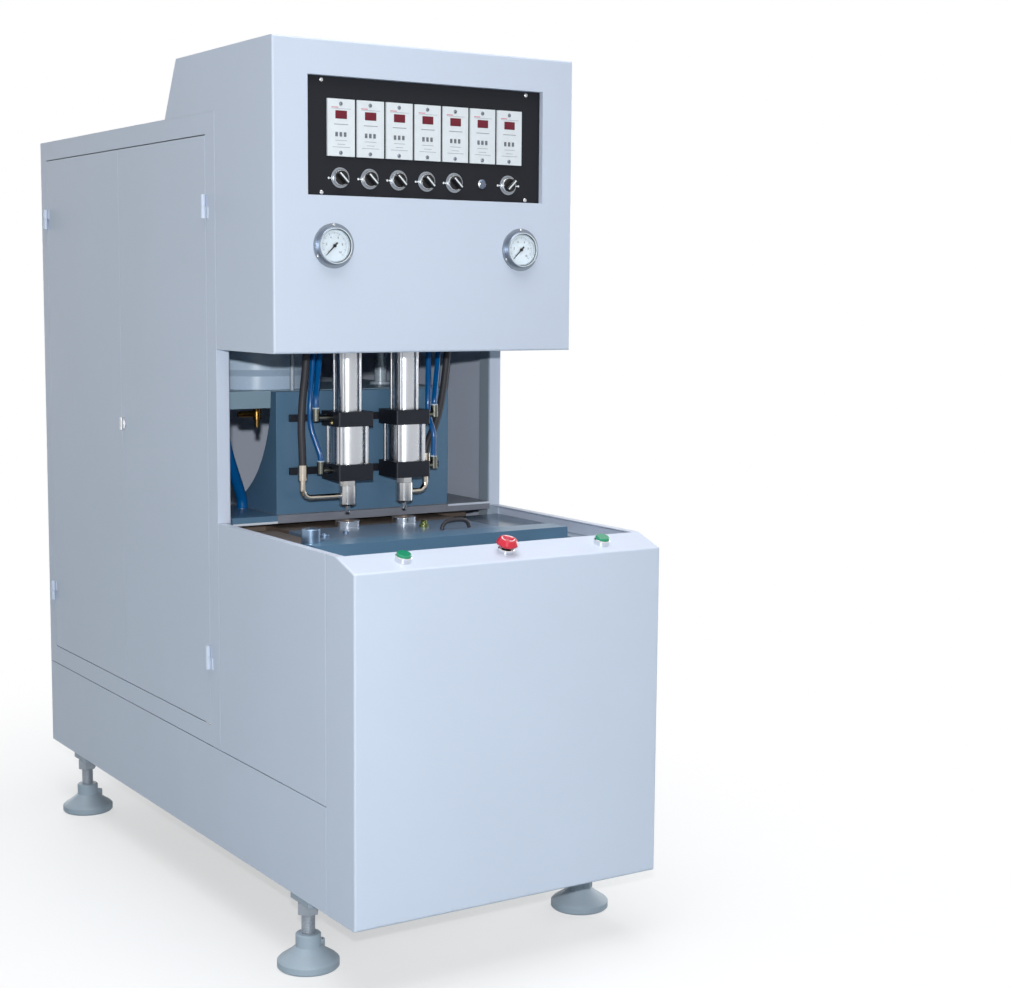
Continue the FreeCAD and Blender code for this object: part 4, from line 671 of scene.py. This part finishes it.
# Push buttons on the desk. Two green start buttons and a red mushroom stop button in
# plated bezels; the stop button's crown carries three pale turning marks.
def arc_band(bm, place, facing, radii, heights, start, span, steps=14):
    """Flat curved bar between two radii, from a start angle over a span."""
    section = [(radii[0], heights[0]), (radii[1], heights[0]),
               (radii[1], heights[1]), (radii[0], heights[1])]
    rows = []
    for i in range(steps + 1):
        angle = start + span * i / steps
        row = []
        for radius, height in section:
            point = Vector((radius * math.cos(angle), radius * math.sin(angle), height))
            row.append(bm.verts.new(place + facing @ point))
        rows.append(row)
    for first, second in zip(rows, rows[1:]):
        for i in range(4):
            bm.faces.new([first[i], first[(i + 1) % 4], second[(i + 1) % 4], second[i]])
    bm.faces.new(rows[0])
    bm.faces.new(rows[-1])


DESK_DROP, DESK_DEPTH = 22, 66
STOP_PLACE = Vector((0, -0.7495, 0.771))
STOP_CROWN = 0.027
MARK_RADII = (0.0102, 0.0124)
MARK_HEIGHTS = (STOP_CROWN - 0.0012, STOP_CROWN + 0.0001)
MARK_SPAN = math.radians(82)
button_green = plastic("button_green", shade(22, 142, 102), 0.24, clear=0.4)
dress(button_green, "start_button_left", "start_button_right")
button_red = plastic("button_red", shade(204, 24, 52), 0.2, clear=0.5)
dress(button_red, "stop_button")
dress(knob_black, "stop_plunger")
desk_slope = math.atan2(DESK_DROP, DESK_DEPTH)
desk_facing = Vector((0, -math.sin(desk_slope), math.cos(desk_slope))).to_track_quat("Z", "Y")
turning_marks = bmesh.new()
for start in (10, 130, 250):
    arc_band(turning_marks, STOP_PLACE, desk_facing, MARK_RADII, MARK_HEIGHTS,
             math.radians(start), MARK_SPAN)
mark_pale = plastic("mark_pale", shade(244, 214, 218), 0.4)
piece("turning_marks", turning_marks, "stop_button", mark_pale)


# Cylinder bracket. Welded plate with two gussets and a foot, in dark blue enamel that is
# worn off most of the foot; a pale painted highlight runs along the foot's front edge at
# each end. The moving platen in front of it has the same enamel.
ENAMEL = (shade(86, 120, 148), 0.35, 0.00008, 420, 0.0015)
BRACKET_LOW = 0.775
FOOT_THICKNESS = 0.0165
FOOT_FRONT = -0.229
BARE_FROM = -0.2
LEFT_HIGHLIGHT_TOP = 0.0045
RIGHT_HIGHLIGHT_LOW = 0.0118
RIGHT_HIGHLIGHT_FROM = 0.193
blue_enamel = painted("blue_enamel", *ENAMEL)
dress(blue_enamel, "front_platen")
bracket_enamel = painted("bracket_enamel", *ENAMEL)
foot_height = bracket_enamel.along("Z") - BRACKET_LOW
foot_x = bracket_enamel.along("X")
at_front = bracket_enamel.along("Y") < FOOT_FRONT
bare = (foot_height < FOOT_THICKNESS) * (foot_x > BARE_FROM)
# Painted highlight: a pale line along the foot's front edge, low on it at the left end and at its
# top at the right end.
left_edge_highlight = (foot_height < LEFT_HIGHLIGHT_TOP) * (foot_x < BARE_FROM) * at_front
right_edge_highlight = ((foot_height > RIGHT_HIGHLIGHT_LOW) * (foot_height < FOOT_THICKNESS)
              * (foot_x > RIGHT_HIGHLIGHT_FROM) * at_front)
rust = bracket_enamel.noise(22, detail=5)
foot_steel = bracket_enamel.mix(rust, shade(114, 116, 126), shade(136, 142, 154))
worn = bracket_enamel.mix(bare, bracket_enamel.colour(), foot_steel)
# The pale colour given to the two edge lines is a painted highlight.
bracket_enamel.surface({
    "Base Color": bracket_enamel.mix(left_edge_highlight + right_edge_highlight, worn, shade(206, 214, 226)),
})
dress(bracket_enamel, "cylinder_bracket")


# Blowing stations. Aluminium barrels between black anodised caps, held by bright tie
# rods; the caps are bolted on two bars, and steel nozzles with plated elbows come out
# below. The clamp's bars, rod and cylinder have the same metals.
def anodised(name, colour):
    """Anodised aluminium with a fine, slightly uneven grain."""
    finish = Finish(name)
    grain = finish.noise(1400)
    return finish.surface({
        "Base Color": finish.mix(finish.noise(40, detail=3), colour, toned(colour, 1.35)),
        "Metallic": 0.35,
        "Roughness": 0.36 + 0.12 * grain,
        "Specular IOR Level": 0.3,
        "Normal": finish.relief(grain, 0.00001, 0.0008),
    })


STATION_X, STATION_Y = 0.065, -0.2675
NOZZLE_REACH = 0.021
CAP_SIDE = 0.104
CAP_INNER = 0.026
CAP_SCREW_RADIUS = 0.0048
PLUG_PROFILE = [(0, 0), (0.0062, 0), (0.0062, 0.0045), (0.0052, 0.0055), (0, 0.0055)]
TO_LEFT, TO_RIGHT = (-1, 0, 0), (1, 0, 0)
black_caps = anodised("black_anodised", shade(34, 37, 45))
dress(black_caps, "cylinder_caps", "mounting_bars", "air_manifold")
cap_screws, brass_screws, plugs = bmesh.new(), bmesh.new(), bmesh.new()
for y, z in ((-0.2515, 0.987), (-0.2715, 0.881)):
    pan_screw(cap_screws, (-CAP_SIDE, y, z), TO_LEFT, CAP_SCREW_RADIUS)
pan_screw(brass_screws, (-CAP_SIDE, -0.2765, 0.975), TO_LEFT, CAP_SCREW_RADIUS)
for z in (0.989, 0.887):
    turn(plugs, PLUG_PROFILE, (-CAP_INNER, -0.2825, z), TO_RIGHT, 28)
piece("cap_screws", cap_screws, "root", screw_plating)
plug_grey = plastic("plug_grey", shade(172, 176, 176), 0.4)
piece("cap_plugs", plugs, "root", plug_grey)
cap_brass = metal("cap_brass", shade(206, 188, 140), 0.24, (90, 90, 90), 0.1)
piece("cap_brass_screw", brass_screws, "root", cap_brass)
bright_barrel = metal("bright_barrel", shade(196, 200, 206), 0.26, (500, 500, 12), 0.1)
dress(bright_barrel, "cylinder_barrels")
tie_steel = metal("tie_rod_steel", shade(190, 193, 198), 0.2, (300, 300, 40), 0.1)
dress(tie_steel, "cylinder_tie_rods")
hard_chrome = metal("hard_chrome", shade(218, 220, 224), 0.1, (60, 60, 60), 0.03)
dress(hard_chrome, "stretch_rod_left", "stretch_rod_right", "tie_bars", "clamp_rod")
turned_steel = metal("turned_steel", shade(196, 198, 200), 0.2, (20, 20, 700), 0.1, 0.0005)
elbow = abs(abs(turned_steel.along("X")) - STATION_X) > NOZZLE_REACH
turned_steel.surface({
    "Base Color": turned_steel.mix(elbow, turned_steel.colour(), shade(188, 180, 168)),
})
dress(turned_steel, "nozzle_left", "nozzle_right")
machined_steel = metal("machined_steel", shade(160, 163, 166), 0.34, (40, 300, 300), 0.12, 0.001)
dress(machined_steel, "crosshead", "clamp_cylinder")


# Mould and platens. The front mould half is ground, with steel collars round the two
# necks; the rear half, its platen and the cover plates beside them are plain hot-rolled
# steel, and the right cover plate is ground brighter than the left.
MOULD_TOP = 0.765
COLLAR_RADIUS = 0.0262
mould_metal = Finish("mould_metal")
sweep = mould_metal.noise(1.0, detail=3, stretch=(30, 260, 260))
blotch = mould_metal.noise(9, detail=4)
across = abs(mould_metal.along("X")) - STATION_X
along = mould_metal.along("Y") - STATION_Y
in_collar = across * across + along * along < COLLAR_RADIUS ** 2
collar = in_collar * (mould_metal.along("Z") > MOULD_TOP + 0.0002)
ground = mould_metal.mix(blotch, shade(104, 128, 156), shade(140, 160, 184))
mould_metal.surface({
    "Base Color": mould_metal.mix(collar, ground, shade(216, 220, 226)),
    "Metallic": 0.45 + 0.55 * collar,
    "Roughness": 0.4 - 0.25 * collar + 0.1 * (sweep - 0.5),
    "Normal": mould_metal.relief(sweep, TOOL_MARK, 0.0012),
})
dress(mould_metal, "mould_front")


def bare_steel(name, colour):
    """Hot-rolled plate: brown-grey with darker patches and fine scratches."""
    finish = Finish(name)
    patches = finish.noise(14, detail=6)
    scratches = finish.noise(1.0, detail=3, stretch=(60, 700, 700))
    worn = finish.mix(patches, toned(colour, 0.62), colour)
    return finish.surface({
        "Base Color": finish.mix(scratches * 0.35, worn, shade(176, 166, 156)),
        "Metallic": 0.6,
        "Roughness": 0.38 + 0.25 * patches,
        "Normal": finish.relief(scratches + patches, 0.00006, 0.0012),
    })


BROWN = shade(132, 116, 108)
brown_steel = bare_steel("brown_steel", BROWN)
dress(brown_steel, "rear_platen", "mould_rear")
cover_steel = bare_steel("cover_steel", BROWN)
right_side = cover_steel.along("X") > 0
grey_plate = cover_steel.mix(cover_steel.noise(18, detail=4),
                             shade(104, 124, 142), shade(134, 152, 170))
cover_steel.surface({
    "Base Color": cover_steel.mix(right_side, cover_steel.colour(), grey_plate),
    "Roughness": 0.5 - 0.28 * right_side + 0.15 * (cover_steel.noise(14, detail=6) - 0.5),
})
dress(cover_steel, "bed_covers")


# Top of the moving half. A steel stop at the left of the platen, two socket screws and
# a brass nipple for the cooling water.
CLAMP_TOP = 0.775
STOP_PROFILE = [(0, 0), (0.0175, 0), (0.0175, 0.0245), (0.0165, 0.0258), (0, 0.0258)]
NIPPLE_PROFILE = [(0, 0), (0.0095, 0), (0.0095, 0.006), (0.0065, 0.007), (0.0065, 0.010),
                  (0.0055, 0.0105), (0.0068, 0.0125), (0.0045, 0.0145), (0, 0.0145)]
stop_steel = metal("stop_steel", shade(128, 150, 174), 0.34, (30, 30, 500), 0.1, 0.001)
stop_post = bmesh.new()
turn(stop_post, STOP_PROFILE, (-0.262, -0.4965, CLAMP_TOP), UP, 48)
piece("clamp_stop", stop_post, "clamp", stop_steel)
socket_screws = bmesh.new()
for x, y, radius in ((-0.174, -0.3805, 0.009), (-0.112, -0.3505, 0.006)):
    turn(socket_screws, [(0, 0), (radius, 0), (radius, radius * 0.5),
                         (radius * 0.9, radius * 0.62), (radius * 0.55, radius * 0.62),
                         (radius * 0.5, radius * 0.15), (0, radius * 0.15)],
         (x, y, MOULD_TOP), UP, 36)
piece("mould_screws", socket_screws, "clamp", stop_steel)
nipple_brass = metal("nipple_brass", shade(150, 158, 104), 0.26, (60, 60, 500), 0.2, 0.0005)
nipple = bmesh.new()
turn(nipple, NIPPLE_PROFILE, (0.064, -0.3495, MOULD_TOP), UP, 36)
piece("water_nipple", nipple, "clamp", nipple_brass)


# Air tank. Welded steel in glossy pale blue-grey paint on its shelf, with a brass drain
# cock below it, dull towards its outlet, and two plated standing pipes beside it.
SHELF_TOP = 1.025
COCK_LOW, COCK_HIGH = 0.925, 0.975
tank_paint = painted("tank_paint", shade(196, 217, 238), 0.26, 0.00006, 300, 0.002)
dress(tank_paint, "air_tank")
fittings = metal("brass_and_plate", shade(196, 152, 84), 0.26, (80, 80, 300), 0.2, 0.0006)
drain = (fittings.along("Z") < SHELF_TOP - 0.001) * (fittings.along("X") < 0)
polished = fittings.node("MapRange", inputs={
    "Value": fittings.along("Z"), "From Min": COCK_LOW, "From Max": COCK_HIGH})
cock_brass = fittings.mix(polished, shade(110, 96, 72), fittings.colour())
fittings.surface({
    "Base Color": fittings.mix(drain, shade(176, 190, 202), cock_brass),
    "Metallic": 0.15 + 0.85 * drain,
})
dress(fittings, "tank_fittings")


# Air lines. Blue polyurethane tubes from the caps up to the manifold in the head, with
# pale collets where they enter their elbows, and a thicker one from the base.
TUBE_RADIUS = 0.0055
COLLET_PROFILE = [(TUBE_RADIUS, 0), (0.0072, 0), (0.0072, 0.0016), (0.0064, 0.0026),
                  (TUBE_RADIUS, 0.0026)]
COLLET_PLACES = ((-0.138, -0.2745, 1.0034), (-0.127, -0.2725, 0.8982),
                 (0.130, -0.2775, 1.0034), (0.129, -0.2775, 0.8982))
tube_blue = plastic("tube_blue", shade(0, 89, 154), 0.2, 200, 0.00002, 0, 0.3)
dress(tube_blue, "air_tubes")
fitting_nickel = metal("fitting_nickel", shade(104, 106, 100), 0.28, (90, 90, 90), 0.2, 0.0006)
dress(fitting_nickel, "air_fittings")
collet_grey = plastic("collet_grey", shade(196, 210, 224), 0.3)
collets = bmesh.new()
for place in COLLET_PLACES:
    turn(collets, COLLET_PROFILE, place, UP, 28)
piece("collets", collets, "root", collet_grey)


# Hoses. Black rubber, from the moving elbow of each nozzle up to the manifold, and a
# short link for water on the moving mould.
def hose(name, points, radius, finish):
    """Round hose along a smooth line near its points."""
    line = bpy.data.curves.new(name, "CURVE")
    line.dimensions = "3D"
    run = line.splines.new("NURBS")
    run.points.add(len(points) - 1)
    for point, corner in zip(run.points, points):
        point.co = (*corner, 1)
    run.order_u = 3
    run.use_endpoint_u = True
    run.resolution_u = 16
    line.bevel_depth = radius
    line.bevel_resolution = 6
    line.use_fill_caps = True
    drawn = bpy.data.objects.new(name, line)
    mesh = bpy.data.meshes.new_from_object(drawn)
    bpy.data.objects.remove(drawn)
    bm = bmesh.new()
    bm.from_mesh(mesh)
    bpy.data.meshes.remove(mesh)
    return shaped(name, bm, finish, crease=60)


HOSE_RADIUS = 0.0075
LINK_RADIUS = 0.0042
HOSE_ROUTES = {
    "left": [(-0.164, -0.2675, 0.893), (-0.164, -0.2675, 0.905), (-0.168, -0.2675, 0.993),
             (-0.144, -0.2525, 1.118), (-0.146, -0.2395, 1.245), (-0.146, -0.2395, 1.335)],
    "right": [(0.119, -0.2605, 0.905), (0.119, -0.2605, 0.917), (0.157, -0.2555, 0.985),
              (0.183, -0.2425, 1.110), (0.191, -0.2395, 1.245), (0.191, -0.2395, 1.335)],
}
LINK_ROUTE = [(0.073, -0.4055, 0.766), (0.075, -0.405, 0.780), (0.106, -0.403, 0.784),
              (0.137, -0.4005, 0.780), (0.139, -0.4005, 0.766)]
hose_rubber = plastic("hose_rubber", shade(50, 50, 56), 0.5, 700, 0.00008, 0)
water_link = hose("water_link", LINK_ROUTE, LINK_RADIUS, hose_rubber)
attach(water_link, "clamp")
for side, route in HOSE_ROUTES.items():
    made = hose(f"rubber_hose_{side}", route, HOSE_RADIUS, hose_rubber)
    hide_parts(f"blow_hose_{side}")
    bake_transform(made)
